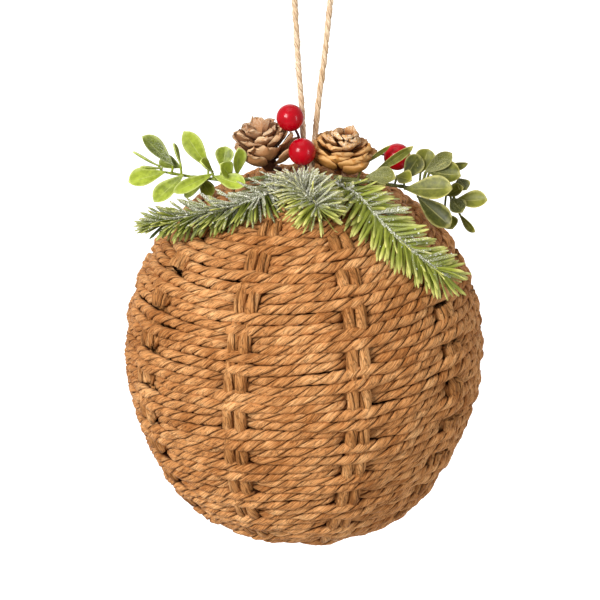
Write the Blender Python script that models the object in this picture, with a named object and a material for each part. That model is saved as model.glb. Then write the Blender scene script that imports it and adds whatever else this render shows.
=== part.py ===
"""Woven jute rope ball ornament with a pick of cones, berries and greenery on a twine loop.

Metres, +Z up. The origin is the underside of the loop's top, where a hook or twig carries
the ornament. The greenery faces -Y. One doubled rope winds from the bottom eye to the top
eye, over and under nine upright stakes, and each stake is a doubled rope too.
"""
import math

import bmesh
import bpy
import numpy as np
from mathutils import Vector

# Ball
BALL_RADIUS = 0.0641
BALL_HALF_HEIGHT = 0.0676
FULLNESS = 0.95
STAKE_COUNT = 9
FIRST_STAKE_TURN = math.radians(-72.0)
ROPE_WIDTH = 0.00315
ROPE_HALF_THICKNESS = 0.0016
STAKE_ROPE_WIDTH = 0.0034
STAKE_HALF_THICKNESS = 0.001
STAKE_FULL_WIDTH_FROM = 0.036
TURN_GAP = 0.00035
FIT_GAP = 0.0003
BOTTOM_EYE_RADIUS = 0.0006
PLAIN_TURNS = 1
COARSE_TURNS = 6
MERIDIAN_SAMPLES = 1801

# Hanging loop
TWINE_DIAMETER = 0.002
LOOP_RISE = 0.090
LOOP_HALF_WIDTH = 0.0073
TWINE_POINT_SPACING = 0.006
TWINE_SUNK = 0.0032

# Pick: berries, cones and sprigs, gathered on the crown of the ball
BERRY_RADIUS = 0.0048
BERRY_WIRE_RADIUS = 0.00045
CONE_CORE_RADIUS = 0.0035
CONE_HEIGHT = 0.0160
CONE_STALK_RADIUS = 0.0009
CONE_ROWS = 5
SCALES_A_ROW = 5
CONE_PROFILE = (0.70, 1.0, 1.0, 0.86, 0.64, 0.34)
SCALE_LENGTH = 0.0078
SCALE_WIDTH = 0.0086
SCALE_THICKNESS = 0.0011
SPRIG_STEM_RADIUS = 0.0007
LEAF_LENGTH = 0.0160
LEAF_WIDTH = 0.0066
LEAF_THICKNESS = 0.0008
NEEDLE_LENGTH = 0.0110
UNDER_SIDE = 1
INNER_ROPE, OUTER_ROPE = -1, 1

# Heights over the ball are given in steps of this length
HEIGHT_STEP = 0.001

# A doubled rope's section: across from edge to edge, then out from its centre line
UNDERSIDE = 0.35
DOUBLE_ROPE_SECTION = ((-1.0, -UNDERSIDE), (-0.5, 1.0), (0.0, 0.5), (0.5, 1.0), (1.0, -UNDERSIDE))

# Sizes that follow from the ones above
BAND_WIDTH = 2.0 * ROPE_WIDTH
NOMINAL_PITCH = BAND_WIDTH + TURN_GAP
STAKE_STEP = 2.0 * math.pi / STAKE_COUNT

# The weft swings out far enough to clear a stake's two ropes, where the stake dives past
# the band's edge and the band, straight from one point to the next, has begun to fall
DIP = STAKE_ROPE_WIDTH / 2 * math.tan(STAKE_STEP / 4)
FALL = STAKE_ROPE_WIDTH / 2 / (STAKE_FULL_WIDTH_FROM * math.sin(STAKE_STEP / 2))
SWING = ((STAKE_HALF_THICKNESS + UNDERSIDE * ROPE_HALF_THICKNESS + FIT_GAP + DIP)
         / (2.0 - BAND_WIDTH / NOMINAL_PITCH - FALL))
MID_RADIUS = BALL_RADIUS - SWING - ROPE_HALF_THICKNESS
MID_HALF_HEIGHT = BALL_HALF_HEIGHT - SWING - ROPE_HALF_THICKNESS
TOP_EYE_RADIUS = TWINE_DIAMETER + 1.5 * FIT_GAP
CENTRE_Z = -(LOOP_RISE + BALL_HALF_HEIGHT)
CENTRE = Vector((0.0, 0.0, CENTRE_Z))
CROWN_Z = CENTRE_Z + BALL_HALF_HEIGHT

COLLECTION_NAME = "jute_rope_ball_ornament"


def clear_scene():
    """Remove what the scene holds."""
    for obj in list(bpy.data.objects):
        bpy.data.objects.remove(obj, do_unlink=True)


def plain_material(name, colour, roughness, metallic=0.0):
    """A Principled material of one colour."""
    material = bpy.data.materials.new(name)
    material.use_nodes = True
    shader = material.node_tree.nodes["Principled BSDF"]
    shader.inputs["Base Color"].default_value = (*colour, 1.0)
    shader.inputs["Roughness"].default_value = roughness
    shader.inputs["Metallic"].default_value = metallic
    return material


def add_piece(name, bm, material, collection, smooth_angle=None):
    """Turn a bmesh into a named object with its faces pointing out."""
    bmesh.ops.recalc_face_normals(bm, faces=bm.faces[:])
    mesh = bpy.data.meshes.new(name)
    bm.to_mesh(mesh)
    bm.free()
    mesh.materials.append(material)
    if smooth_angle is not None:
        mesh.shade_smooth()
        mesh.set_sharp_from_angle(angle=smooth_angle)
    piece = bpy.data.objects.new(name, mesh)
    collection.objects.link(piece)
    return piece


def skin_rings(bm, rings):
    """Join rings of points into a closed tube; returns its side faces, one list a segment."""
    loops = [[bm.verts.new(point) for point in ring] for ring in rings]
    count = len(loops[0])
    segments = []
    for near, far in zip(loops, loops[1:]):
        segments.append([bm.faces.new((near[i], near[(i + 1) % count],
                                       far[(i + 1) % count], far[i])) for i in range(count)])
    bm.faces.new(list(reversed(loops[0])))
    bm.faces.new(loops[-1])
    bmesh.ops.recalc_face_normals(bm, faces=bm.faces[:])
    return segments


def smooth_path(points, count):
    """Read count points from a smooth curve through the given ones, evenly along it."""
    knots = np.array([tuple(point) for point in points])
    ghosts = np.vstack([2 * knots[0] - knots[1], knots, 2 * knots[-1] - knots[-2]])
    share = np.linspace(0.0, 1.0, 24, endpoint=False)[:, None]
    pieces = []
    for a, b, c, d in zip(ghosts, ghosts[1:], ghosts[2:], ghosts[3:]):
        pieces.append(0.5 * (2 * b + (c - a) * share + (2 * a - 5 * b + 4 * c - d) * share ** 2
                             + (3 * b - a - 3 * c + d) * share ** 3))
    fine = np.vstack([*pieces, knots[-1:]])
    along = np.concatenate([[0.0], np.cumsum(np.linalg.norm(np.diff(fine, axis=0), axis=1))])
    wanted = np.linspace(0.0, along[-1], count)
    return [Vector([np.interp(w, along, fine[:, axis]) for axis in range(3)]) for w in wanted]


# The ball's middle surface, measured along its meridian from the bottom pole: a spheroid's
# meridian, made a little fuller between equator and pole
_LATITUDE = np.linspace(-math.pi / 2, math.pi / 2, MERIDIAN_SAMPLES)
_RHO = MID_RADIUS * np.abs(np.cos(_LATITUDE)) ** FULLNESS
_HEIGHT = MID_HALF_HEIGHT * np.sign(_LATITUDE) * np.abs(np.sin(_LATITUDE)) ** FULLNESS
_ARC = np.concatenate([[0.0], np.cumsum(np.hypot(np.diff(_RHO), np.diff(_HEIGHT)))])
_NORMAL_RHO = np.gradient(_HEIGHT, _ARC)
_NORMAL_HEIGHT = -np.gradient(_RHO, _ARC)
SPIRAL_START = BOTTOM_EYE_RADIUS + BAND_WIDTH / 2
SPIRAL_END = _ARC[-1] - TOP_EYE_RADIUS - BAND_WIDTH / 2
TURNS = math.floor((SPIRAL_END - SPIRAL_START) / NOMINAL_PITCH)
PITCH = (SPIRAL_END - SPIRAL_START) / TURNS


def on_weave(arc, azimuth, out):
    """A point on the middle surface, moved out along its normal."""
    rho = np.interp(arc, _ARC, _RHO) + out * np.interp(arc, _ARC, _NORMAL_RHO)
    height = np.interp(arc, _ARC, _HEIGHT) + out * np.interp(arc, _ARC, _NORMAL_HEIGHT)
    return CENTRE + Vector((rho * math.cos(azimuth), rho * math.sin(azimuth), height))


def weft_swing(crossing):
    """How far the weft stands out at a crossing count, or halfway between two of them.

    The plain turns at both poles lie outside, with the stakes' ends tucked under them.
    """
    if not STAKE_COUNT * PLAIN_TURNS <= crossing < STAKE_COUNT * (TURNS - PLAIN_TURNS):
        return SWING
    if crossing != int(crossing):
        return 0.0
    return SWING if int(crossing) % 2 == 0 else -SWING


def build_weft(collection, material):
    """The doubled rope, one spiral from the bottom eye to the top eye."""
    halves = [half / 2 for half in range(2 * STAKE_COUNT * TURNS + 1)]
    coarse = STAKE_COUNT * COARSE_TURNS
    last = STAKE_COUNT * TURNS
    crossings = [c for c in halves if c == int(c) or coarse < c < last - coarse]
    rings = []
    for crossing in crossings:
        azimuth = FIRST_STAKE_TURN + crossing * STAKE_STEP
        arc = SPIRAL_START + PITCH * crossing / STAKE_COUNT
        swing = weft_swing(crossing)
        rings.append([on_weave(arc + across * BAND_WIDTH / 2, azimuth,
                               swing + out * ROPE_HALF_THICKNESS)
                      for across, out in DOUBLE_ROPE_SECTION])
    bm = bmesh.new()
    skin_rings(bm, rings)
    return add_piece("weft_rope", bm, material, collection)


def build_stake(index, collection, material):
    """One upright doubled rope, over and under the weft's turns, tucked in at both ends."""
    turns = list(range(PLAIN_TURNS, TURNS - PLAIN_TURNS))
    under = [weft_swing(STAKE_COUNT * turn + index) > 0.0 for turn in turns]
    turns = turns[under.index(True):len(turns) - under[::-1].index(True)]
    azimuth = FIRST_STAKE_TURN + index * STAKE_STEP
    sideways = Vector((-math.sin(azimuth), math.cos(azimuth), 0.0))
    rings = []
    for turn in turns:
        crossing = STAKE_COUNT * turn + index
        arc = SPIRAL_START + PITCH * crossing / STAKE_COUNT
        rho = np.interp(arc, _ARC, _RHO)
        half_width = STAKE_ROPE_WIDTH * min(1.0, rho / STAKE_FULL_WIDTH_FROM)
        rings.append([on_weave(arc, azimuth, out * STAKE_HALF_THICKNESS - weft_swing(crossing))
                      + sideways * across * half_width
                      for across, out in DOUBLE_ROPE_SECTION])
    bm = bmesh.new()
    skin_rings(bm, rings)
    return add_piece(f"stake_{index + 1}", bm, material, collection)


def over_ball(tilt, azimuth, height):
    """A point over the ball: degrees from its top, degrees around from +X, steps off it."""
    polar, around = math.radians(tilt), math.radians(azimuth)
    rho = BALL_RADIUS * math.sin(polar) ** FULLNESS
    rise = BALL_HALF_HEIGHT * math.cos(polar) ** FULLNESS
    normal = Vector((math.sin(polar) * BALL_HALF_HEIGHT, math.cos(polar) * BALL_RADIUS))
    normal.normalize()
    rho += height * HEIGHT_STEP * normal.x
    rise += height * HEIGHT_STEP * normal.y
    return CENTRE + Vector((rho * math.cos(around), rho * math.sin(around), rise))


def on_crown(rope, azimuth, radius):
    """The centre of a stem of the given radius where it rests on a rope of the last turn."""
    around = math.radians(azimuth)
    turned = (around - FIRST_STAKE_TURN) / (2.0 * math.pi) % 1.0
    arc = SPIRAL_END - PITCH * (1.0 - turned) - rope * BAND_WIDTH / 4
    return on_weave(arc, around, SWING + ROPE_HALF_THICKNESS + FIT_GAP + radius)


def tube_rings(path, radii, sides, up):
    """Rings of points around a path; the first side of each faces up."""
    rings = []
    for index, centre in enumerate(path):
        ahead = path[min(index + 1, len(path) - 1)] - path[max(index - 1, 0)]
        ahead.normalize()
        across = ahead.cross(up).normalized()
        lift = across.cross(ahead).normalized()
        turn = [2.0 * math.pi * (side + 0.5) / sides for side in range(sides)]
        rings.append([centre + radii[index] * (lift * math.cos(t) + across * math.sin(t))
                      for t in turn])
    return rings


def grow_blade(bm, face, stations, tip, across):
    """Draw a four-sided face out through stations to a point.

    A station is a centre, a half width along across and a half thickness square to it.
    """
    for centre, half_width, half_thickness in stations:
        before = face.calc_center_median()
        old = [vert.co.copy() for vert in face.verts]
        face = bmesh.ops.extrude_discrete_faces(bm, faces=[face])["faces"][0]
        ahead = (centre - before).normalized()
        side = (across - ahead * across.dot(ahead)).normalized()
        lift = ahead.cross(side)
        corners = [centre + side * half_width * x + lift * half_thickness * y
                   for x, y in ((-1, -1), (1, -1), (1, 1), (-1, 1))]
        turns = [sum((corners[(i + turn) % 4] - old[i]).length for i in range(4))
                 for turn in range(4)]
        best = turns.index(min(turns))
        for i, vert in enumerate(face.verts):
            vert.co = corners[(i + best) % 4]
    if tip is not None:
        face = bmesh.ops.extrude_discrete_faces(bm, faces=[face])["faces"][0]
        bmesh.ops.pointmerge(bm, verts=face.verts[:], merge_co=tip)


def clear_of_ball(point, height):
    """The point, moved straight out where it is nearer to the ball than the height."""
    from_centre = point - CENTRE
    rho = math.hypot(from_centre.x, from_centre.y) / BALL_RADIUS
    rise = abs(from_centre.z) / BALL_HALF_HEIGHT
    share = (rho ** (2 / FULLNESS) + rise ** (2 / FULLNESS)) ** (FULLNESS / 2)
    reach = from_centre.length * (1.0 - 1.0 / share)
    if reach >= height:
        return point
    return point + from_centre.normalized() * (height - reach)


def build_cone(name, base, centre, lean, collection, material):
    """A small open pinecone on its stalk, with rows of broad scales, each row half a step on."""
    axis = Vector(lean).normalized()
    bottom = centre - axis * CONE_HEIGHT / 2
    top = centre + axis * CONE_HEIGHT / 2
    path = [base, bottom - axis * CONE_STALK_RADIUS]
    path += [bottom.lerp(top, row / CONE_ROWS) for row in range(CONE_ROWS + 1)]
    radii = [CONE_STALK_RADIUS] * 2 + [CONE_CORE_RADIUS * share for share in CONE_PROFILE]
    aside = Vector((0.0, 1.0, 0.0))
    bm = bmesh.new()
    segments = skin_rings(bm, tube_rings(path, radii, 2 * SCALES_A_ROW, aside))
    for row in range(CONE_ROWS):
        upward = row / (CONE_ROWS - 1)
        openness = math.radians(18.0 + 40.0 * upward)
        size = 1.0 - 0.32 * upward ** 1.6
        for face in segments[2 + row][row % 2::2]:
            root = face.calc_center_median()
            outward = root - bottom
            outward -= axis * outward.dot(axis)
            root_radius = outward.length
            outward.normalize()
            ahead = outward * math.cos(openness) + axis * math.sin(openness)
            across = axis.cross(outward)
            stations = []
            for along, share, thickness in ((0.58, 1.0, 1.0), (1.0, 0.66, 0.7)):
                length = SCALE_LENGTH * size * along
                room = (root_radius + length * math.cos(openness)) * math.sin(math.pi / SCALES_A_ROW)
                half = min(SCALE_WIDTH * size / 2 * share, 0.92 * room)
                stations.append((root + ahead * length, half, SCALE_THICKNESS / 2 * thickness))
            grow_blade(bm, face, stations, None, across)
    return add_piece(name, bm, material, collection)


def build_berry(name, centre, route, collection, berry_material, wire_material):
    """A round berry and the wire that it stands on, which stops just under its skin."""
    bm = bmesh.new()
    bmesh.ops.create_uvsphere(bm, u_segments=10, v_segments=7, radius=BERRY_RADIUS)
    bmesh.ops.translate(bm, verts=bm.verts[:], vec=centre)
    add_piece(f"berry_{name}", bm, berry_material, collection, smooth_angle=math.radians(60))
    approach = (route[-1] - centre).normalized()
    end = centre + approach * (BERRY_RADIUS + FIT_GAP)
    path = smooth_path([*route, end], 6)
    bm = bmesh.new()
    up = Vector((0.0, 1.0, 0.0))
    skin_rings(bm, tube_rings(path, [BERRY_WIRE_RADIUS] * len(path), 4, up))
    add_piece(f"berry_wire_{name}", bm, wire_material, collection)


def build_leafy_sprig(name, route, leaves, quarter, collection, material):
    """A boxwood-like sprig: pairs of spoon-shaped leaves, each pair a quarter turn on."""
    path = smooth_path(route, 3 * leaves)
    count = len(path)
    radii = [SPRIG_STEM_RADIUS * (1.0 - 0.45 * i / (count - 1)) for i in range(count)]
    up = Vector((0.0, 0.0, 1.0))
    bm = bmesh.new()
    segments = skin_rings(bm, tube_rings(path, radii, 4, up))
    for pair in range(leaves):
        joint = len(segments) - 1 - 2 * (leaves - 1 - pair)
        segment = segments[joint]
        sides = (0, 2) if (pair + quarter) % 2 else (1, 3)
        for side in sides:
            face = segment[side]
            root = face.calc_center_median()
            stem = (path[joint + 1] - path[joint]).normalized()
            outward = face.normal.copy()
            spread = math.radians(52.0 - 18.0 * pair / leaves)
            ahead = stem * math.cos(spread) + outward * math.sin(spread)
            across = outward.cross(stem).normalized()
            length = LEAF_LENGTH * (0.82 + 0.18 * math.cos(2.4 * pair + side))
            half = LEAF_WIDTH / 2 * length / LEAF_LENGTH
            stations = []
            for along, share in ((0.62, 1.0), (1.0, 0.58)):
                centre = clear_of_ball(root + ahead * along * length, half + 2 * LEAF_THICKNESS)
                stations.append((centre, half * share, LEAF_THICKNESS / 2))
            grow_blade(bm, face, stations, None, across)
    return add_piece(name, bm, material, collection)


def build_fir_sprig(name, route, nodes, needle_length, collection, material):
    """A fir sprig: a stem whose joints carry needles on four sides, shorter below."""
    path = smooth_path(route, 2 * nodes + 2)
    count = len(path)
    radii = [SPRIG_STEM_RADIUS * (1.0 - 0.4 * i / (count - 1)) for i in range(count)]
    up = Vector((0.0, 0.0, 1.0))
    bm = bmesh.new()
    segments = skin_rings(bm, tube_rings(path, radii, 4, up))
    for node in range(nodes):
        index = 2 * node + 2 if 2 * node + 2 < len(segments) else len(segments) - 1
        stem = (path[index + 1] - path[index]).normalized()
        for side, face in enumerate(segments[index]):
            root = face.calc_center_median()
            sweep = math.radians(42.0 + 9.0 * math.cos(2.1 * node + 1.7 * side))
            ahead = stem * math.sin(sweep) + face.normal * math.cos(sweep)
            length = needle_length * (0.9 + 0.1 * math.cos(1.3 * node + 2.0 * side))
            length *= min(1.0, 0.45 + 0.14 * node) * (0.7 if side == UNDER_SIDE else 1.0)
            tip = clear_of_ball(root + ahead * length, SPRIG_STEM_RADIUS + FIT_GAP)
            grow_blade(bm, face, [], tip, up)
    return add_piece(name, bm, material, collection)


def build_twine(collection, material):
    """The hanging loop: two legs out of the crown's eye, widening to a round top."""
    leg_x = TWINE_DIAMETER / 2 + FIT_GAP / 2
    apex = TWINE_DIAMETER / 2
    leg = [(leg_x, CROWN_Z - TWINE_SUNK), (leg_x, CROWN_Z + 0.033 * LOOP_RISE)]
    leg += [(share * LOOP_HALF_WIDTH, CROWN_Z + rise * LOOP_RISE)
            for share, rise in ((0.26, 0.133), (0.44, 0.311), (0.62, 0.456), (0.88, 0.733))]
    leg += [(share * LOOP_HALF_WIDTH, apex - drop * LOOP_HALF_WIDTH)
            for share, drop in ((1.0, 1.575), (0.80, 0.63), (0.42, 0.123))]
    left = [Vector((-x, 0.0, z)) for x, z in leg]
    right = [Vector((x, 0.0, z)) for x, z in reversed(leg)]
    route = [*left, Vector((0.0, 0.0, apex)), *right]
    length = sum((b - a).length for a, b in zip(route, route[1:]))
    points = smooth_path(route, round(length / TWINE_POINT_SPACING) + 1)
    curve = bpy.data.curves.new("hanger_twine", "CURVE")
    curve.dimensions = "3D"
    curve.bevel_depth = TWINE_DIAMETER / 2
    curve.bevel_resolution = 2
    curve.use_fill_caps = True
    spline = curve.splines.new("POLY")
    spline.points.add(len(points) - 1)
    for knot, point in zip(spline.points, points):
        knot.co = (*point, 1.0)
    curve.materials.append(material)
    twine = bpy.data.objects.new("hanger_twine", curve)
    collection.objects.link(twine)
    return twine


def main():
    """Build every piece into one collection."""
    clear_scene()
    collection = bpy.data.collections.new(COLLECTION_NAME)
    bpy.context.scene.collection.children.link(collection)

    rope = plain_material("jute_rope", (0.55, 0.30, 0.13), 0.75)
    stake_rope = plain_material("jute_stake_rope", (0.50, 0.27, 0.12), 0.8)
    twine = plain_material("pale_twine", (0.66, 0.48, 0.28), 0.85)
    cone_brown = plain_material("cone_scales", (0.30, 0.17, 0.08), 0.7)
    cone_gold = plain_material("cone_scales_golden", (0.42, 0.25, 0.10), 0.7)
    berry_red = plain_material("berry_red", (0.60, 0.0, 0.02), 0.15)
    wire_brown = plain_material("wire_brown", (0.14, 0.03, 0.02), 0.5)
    leaf_green = plain_material("leaf_green", (0.30, 0.42, 0.08), 0.45)
    leaf_sage = plain_material("leaf_sage", (0.26, 0.36, 0.16), 0.5)
    fir_green = plain_material("fir_green", (0.16, 0.26, 0.08), 0.6)

    build_weft(collection, rope)
    for index in range(STAKE_COUNT):
        build_stake(index, collection, stake_rope)
    build_twine(collection, twine)

    build_cone("pinecone_left", on_crown(OUTER_ROPE, 172.0, CONE_STALK_RADIUS),
               over_ball(11.2, 191.0, 10.8), (-0.28, 0.05, 1.0), collection, cone_brown)
    build_cone("pinecone_right", on_crown(INNER_ROPE, 4.0, CONE_STALK_RADIUS),
               over_ball(9.6, 351.0, 10.4), (0.16, -0.12, 1.0), collection, cone_gold)

    build_berry("top", over_ball(5.4, 221.0, 22.2),
                [on_crown(INNER_ROPE, 225.0, BERRY_WIRE_RADIUS),
                 over_ball(2.6, 230.0, 8.0), over_ball(3.2, 225.0, 14.0)],
                collection, berry_red, wire_brown)
    build_berry("middle", over_ball(7.7, 258.0, 11.8),
                [on_crown(INNER_ROPE, 285.0, BERRY_WIRE_RADIUS),
                 over_ball(6.4, 268.0, 3.5)],
                collection, berry_red, wire_brown)
    build_berry("right", over_ball(23.0, 4.0, 12.2),
                [on_crown(INNER_ROPE, 60.0, BERRY_WIRE_RADIUS),
                 over_ball(11.0, 52.0, 4.0), over_ball(17.0, 24.0, 8.5)],
                collection, berry_red, wire_brown)

    build_leafy_sprig("boxwood_sprig_left",
                      [on_crown(OUTER_ROPE, 208.0, SPRIG_STEM_RADIUS),
                       over_ball(21.5, 206.0, 5.4), over_ball(30.0, 193.0, 10.0),
                       over_ball(37.4, 188.5, 19.0)], 6, 0, collection, leaf_green)
    build_leafy_sprig("boxwood_sprig_right",
                      [on_crown(INNER_ROPE, 330.0, SPRIG_STEM_RADIUS),
                       over_ball(19.4, 335.0, 4.4), over_ball(29.0, 344.0, 8.0),
                       over_ball(39.4, 352.0, 15.0)], 6, 1, collection, leaf_sage)

    build_fir_sprig("fir_sprig_left",
                    [on_crown(OUTER_ROPE, 224.0, SPRIG_STEM_RADIUS),
                     over_ball(22.8, 235.0, 3.7), over_ball(31.6, 220.0, 4.0),
                     over_ball(41.7, 207.0, 8.0), over_ball(50.2, 200.5, 14.5)],
                    12, NEEDLE_LENGTH, collection, fir_green)
    build_fir_sprig("fir_sprig_middle",
                    [on_crown(OUTER_ROPE, 255.0, SPRIG_STEM_RADIUS),
                     over_ball(15.0, 262.0, 4.5), over_ball(24.0, 272.0, 5.5),
                     over_ball(34.0, 280.5, 5.0)],
                    9, NEEDLE_LENGTH, collection, fir_green)
    build_fir_sprig("fir_sprig_right",
                    [on_crown(INNER_ROPE, 312.0, SPRIG_STEM_RADIUS),
                     over_ball(23.4, 308.0, 4.8), over_ball(37.7, 311.0, 5.0),
                     over_ball(51.4, 319.0, 6.9), over_ball(59.4, 328.0, 7.9)],
                    13, NEEDLE_LENGTH, collection, fir_green)


main()
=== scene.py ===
"""Visual model of a woven jute rope ball ornament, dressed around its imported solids.

Metres, +Z up. The origin is the underside of the twine loop's top. The greenery faces -Y.
Every piece of the ornament is one or more closed tubes worked out with numpy: a section of a
few points carried along a line.
"""
from __future__ import annotations

import logging
import math
from collections.abc import Callable
from dataclasses import dataclass, field
from enum import Enum

import bpy
import numpy as np
from mathutils import Matrix, Vector

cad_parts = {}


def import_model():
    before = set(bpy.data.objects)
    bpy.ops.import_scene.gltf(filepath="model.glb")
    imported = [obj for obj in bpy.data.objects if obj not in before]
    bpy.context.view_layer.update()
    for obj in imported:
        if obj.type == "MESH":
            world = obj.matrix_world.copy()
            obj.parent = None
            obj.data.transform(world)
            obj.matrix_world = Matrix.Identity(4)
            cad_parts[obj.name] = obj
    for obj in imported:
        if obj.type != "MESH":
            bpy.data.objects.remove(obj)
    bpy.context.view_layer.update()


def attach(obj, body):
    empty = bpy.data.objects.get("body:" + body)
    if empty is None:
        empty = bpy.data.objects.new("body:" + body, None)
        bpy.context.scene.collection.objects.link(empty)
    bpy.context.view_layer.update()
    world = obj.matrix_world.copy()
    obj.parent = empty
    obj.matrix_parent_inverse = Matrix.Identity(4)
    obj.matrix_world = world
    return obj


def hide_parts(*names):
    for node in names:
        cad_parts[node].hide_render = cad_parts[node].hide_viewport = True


LOG = logging.getLogger("ornament")
BODY = "root"
MM = 0.001
GOLDEN_ANGLE = math.pi * (3.0 - math.sqrt(5.0))

# How many sines make up one unsteadiness, and the marks that ropes and leaves carry
WAVES = 5
ROPE_MARKS = ("grain", "shade", "tone")
LEAF_MARKS = ("grain", "along", "across", "tone", "frost")

# The view's side in pixels, and how many of them make a metre at the ball
VIEW_SIDE = 600.0
VIEW_SCALE = 2787.0

Array = np.ndarray
Triple = tuple[float, float, float]


class Hand(Enum):
    """Which way a rope's plies turn."""

    LEFT = 1.0
    RIGHT = -1.0


class Side(Enum):
    """Which rope of the last turn a stem rests on."""

    INNER = -1.0
    OUTER = 1.0


def paint(red: float, green: float, blue: float) -> Triple:
    """Turn a screen colour, 0 to 255, into the linear colour that a shader takes.

    Args:
        red: Red, 0 to 255.
        green: Green, 0 to 255.
        blue: Blue, 0 to 255.

    Returns:
        The linear colour: each share to the power of about 2.4 above the toe, a straight line below.
    """
    shares = (channel / 255.0 for channel in (red, green, blue))
    return tuple(s / 12.92 if s <= 0.04045 else ((s + 0.055) / 1.055) ** 2.4 for s in shares)


# Shader maths


class Signal:
    """A value or colour in a material; arithmetic on it adds Math nodes."""

    def __init__(self, bench: Bench, socket: bpy.types.NodeSocket) -> None:
        """Wrap an output socket of the bench's material."""
        self.bench = bench
        self.socket = socket

    def __add__(self, other: Signal | float) -> Signal:
        """Sum."""
        return self.bench.maths("ADD", self, other)

    __radd__ = __add__

    def __sub__(self, other: Signal | float) -> Signal:
        """Difference."""
        return self.bench.maths("SUBTRACT", self, other)

    def __rsub__(self, other: float) -> Signal:
        """Difference from a number."""
        return self.bench.maths("SUBTRACT", other, self)

    def __mul__(self, other: Signal | float) -> Signal:
        """Product."""
        return self.bench.maths("MULTIPLY", self, other)

    __rmul__ = __mul__

    def __abs__(self) -> Signal:
        """Absolute value."""
        return self.bench.maths("ABSOLUTE", self)

    def clamped(self) -> Signal:
        """The value, kept between 0 and 1."""
        return self.bench.node("ShaderNodeClamp", {}, {"Value": self})

    def between(self, low: float, high: float) -> Signal:
        """A smooth step: 0 at low and below, 1 at high and above.

        Args:
            low: Where the step starts.
            high: Where the step ends.

        Returns:
            The smooth step of this value.
        """
        return self.bench.node("ShaderNodeMapRange", {"interpolation_type": "SMOOTHSTEP"},
                               {"Value": self, "From Min": low, "From Max": high})


class Bench:
    """One material under the brush: makes nodes, and links them to its shader."""

    def __init__(self, name: str) -> None:
        """Start a material whose only nodes are its output and its shader.

        Args:
            name: The material's name.
        """
        self.material = bpy.data.materials.new(name)
        self.material.use_nodes = True
        self.tree = self.material.node_tree
        self.shader = self.tree.nodes["Principled BSDF"]

    def node(self, kind: str, settings: dict, values: dict, output: int | str = 0) -> Signal:
        """Add a node.

        Args:
            kind: The node's type.
            settings: Its settings, such as an operation, set before its sockets.
            values: A number, colour or signal for each input, by name or place.
            output: Which output is wanted, by name or place.

        Returns:
            That output.
        """
        made = self.tree.nodes.new(kind)
        for key, setting in settings.items():
            setattr(made, key, setting)
        for key, value in values.items():
            self.feed(made.inputs[key], value)
        return Signal(self, made.outputs[output])

    def feed(self, socket: bpy.types.NodeSocket, value: Signal | float | tuple) -> None:
        """Link a signal to an input, or set the input to a number or colour.

        Args:
            socket: The input.
            value: What it gets.
        """
        if isinstance(value, Signal):
            self.tree.links.new(value.socket, socket)
        elif isinstance(value, tuple) and len(socket.default_value) == 4:
            socket.default_value = (*value, 1.0)
        else:
            socket.default_value = value

    def maths(self, operation: str, *values: Signal | float) -> Signal:
        """One Math node on the given values."""
        return self.node("ShaderNodeMath", {"operation": operation}, dict(enumerate(values)))

    def mark(self, name: str, output: str = "Fac") -> Signal:
        """An attribute of the mesh: Fac for a number, Vector for three."""
        return self.node("ShaderNodeAttribute", {"attribute_name": name}, {}, output)

    def place(self) -> Signal:
        """Object coordinates, in metres."""
        return self.node("ShaderNodeTexCoord", {}, {}, "Object")

    def scaled(self, vector: Signal, factors: Triple) -> Signal:
        """A vector, each of its parts times its own factor."""
        return self.node("ShaderNodeVectorMath", {"operation": "MULTIPLY"},
                         {0: vector, 1: factors})

    def part(self, vector: Signal, axis: str) -> Signal:
        """One part of a vector: X, Y or Z."""
        return self.node("ShaderNodeSeparateXYZ", {}, {"Vector": vector}, axis)

    def noise(self, vector: Signal, scale: float, detail: float,
              roughness: float = 0.5) -> Signal:
        """Cloudy noise from about 0.2 to 0.8.

        Args:
            vector: Where it is read.
            scale: How many clouds there are in a unit.
            detail: How many finer layers it has.
            roughness: How strong the finer layers are.

        Returns:
            The noise's value.
        """
        return self.node("ShaderNodeTexNoise", {},
                         {"Vector": vector, "Scale": scale, "Detail": detail,
                          "Roughness": roughness})

    def blend(self, factor: Signal, first: Signal | Triple, second: Signal | Triple) -> Signal:
        """A mix of two colours.

        Args:
            factor: 0 for the first, 1 for the second.
            first: The first colour.
            second: The second colour.

        Returns:
            The mixed colour.
        """
        return self.node("ShaderNodeMix", {"data_type": "RGBA"},
                         {0: factor, 6: first, 7: second}, 2)

    def bump(self, height: Signal, distance: float) -> Signal:
        """A normal bent by a height.

        Args:
            height: The height, 0 to 1.
            distance: How high 1 is, in metres.

        Returns:
            The bent normal.
        """
        return self.node("ShaderNodeBump", {}, {"Height": height, "Distance": distance},
                         "Normal")

    def dress(self, **values: Signal | float | tuple) -> bpy.types.Material:
        """Feed the shader's sockets, and hand over the material.

        Args:
            values: What each socket gets, under its name with underscores for spaces.

        Returns:
            The material.
        """
        for key, value in values.items():
            self.feed(self.shader.inputs[key.replace("_", " ")], value)
        return self.material


# Finishes


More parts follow.
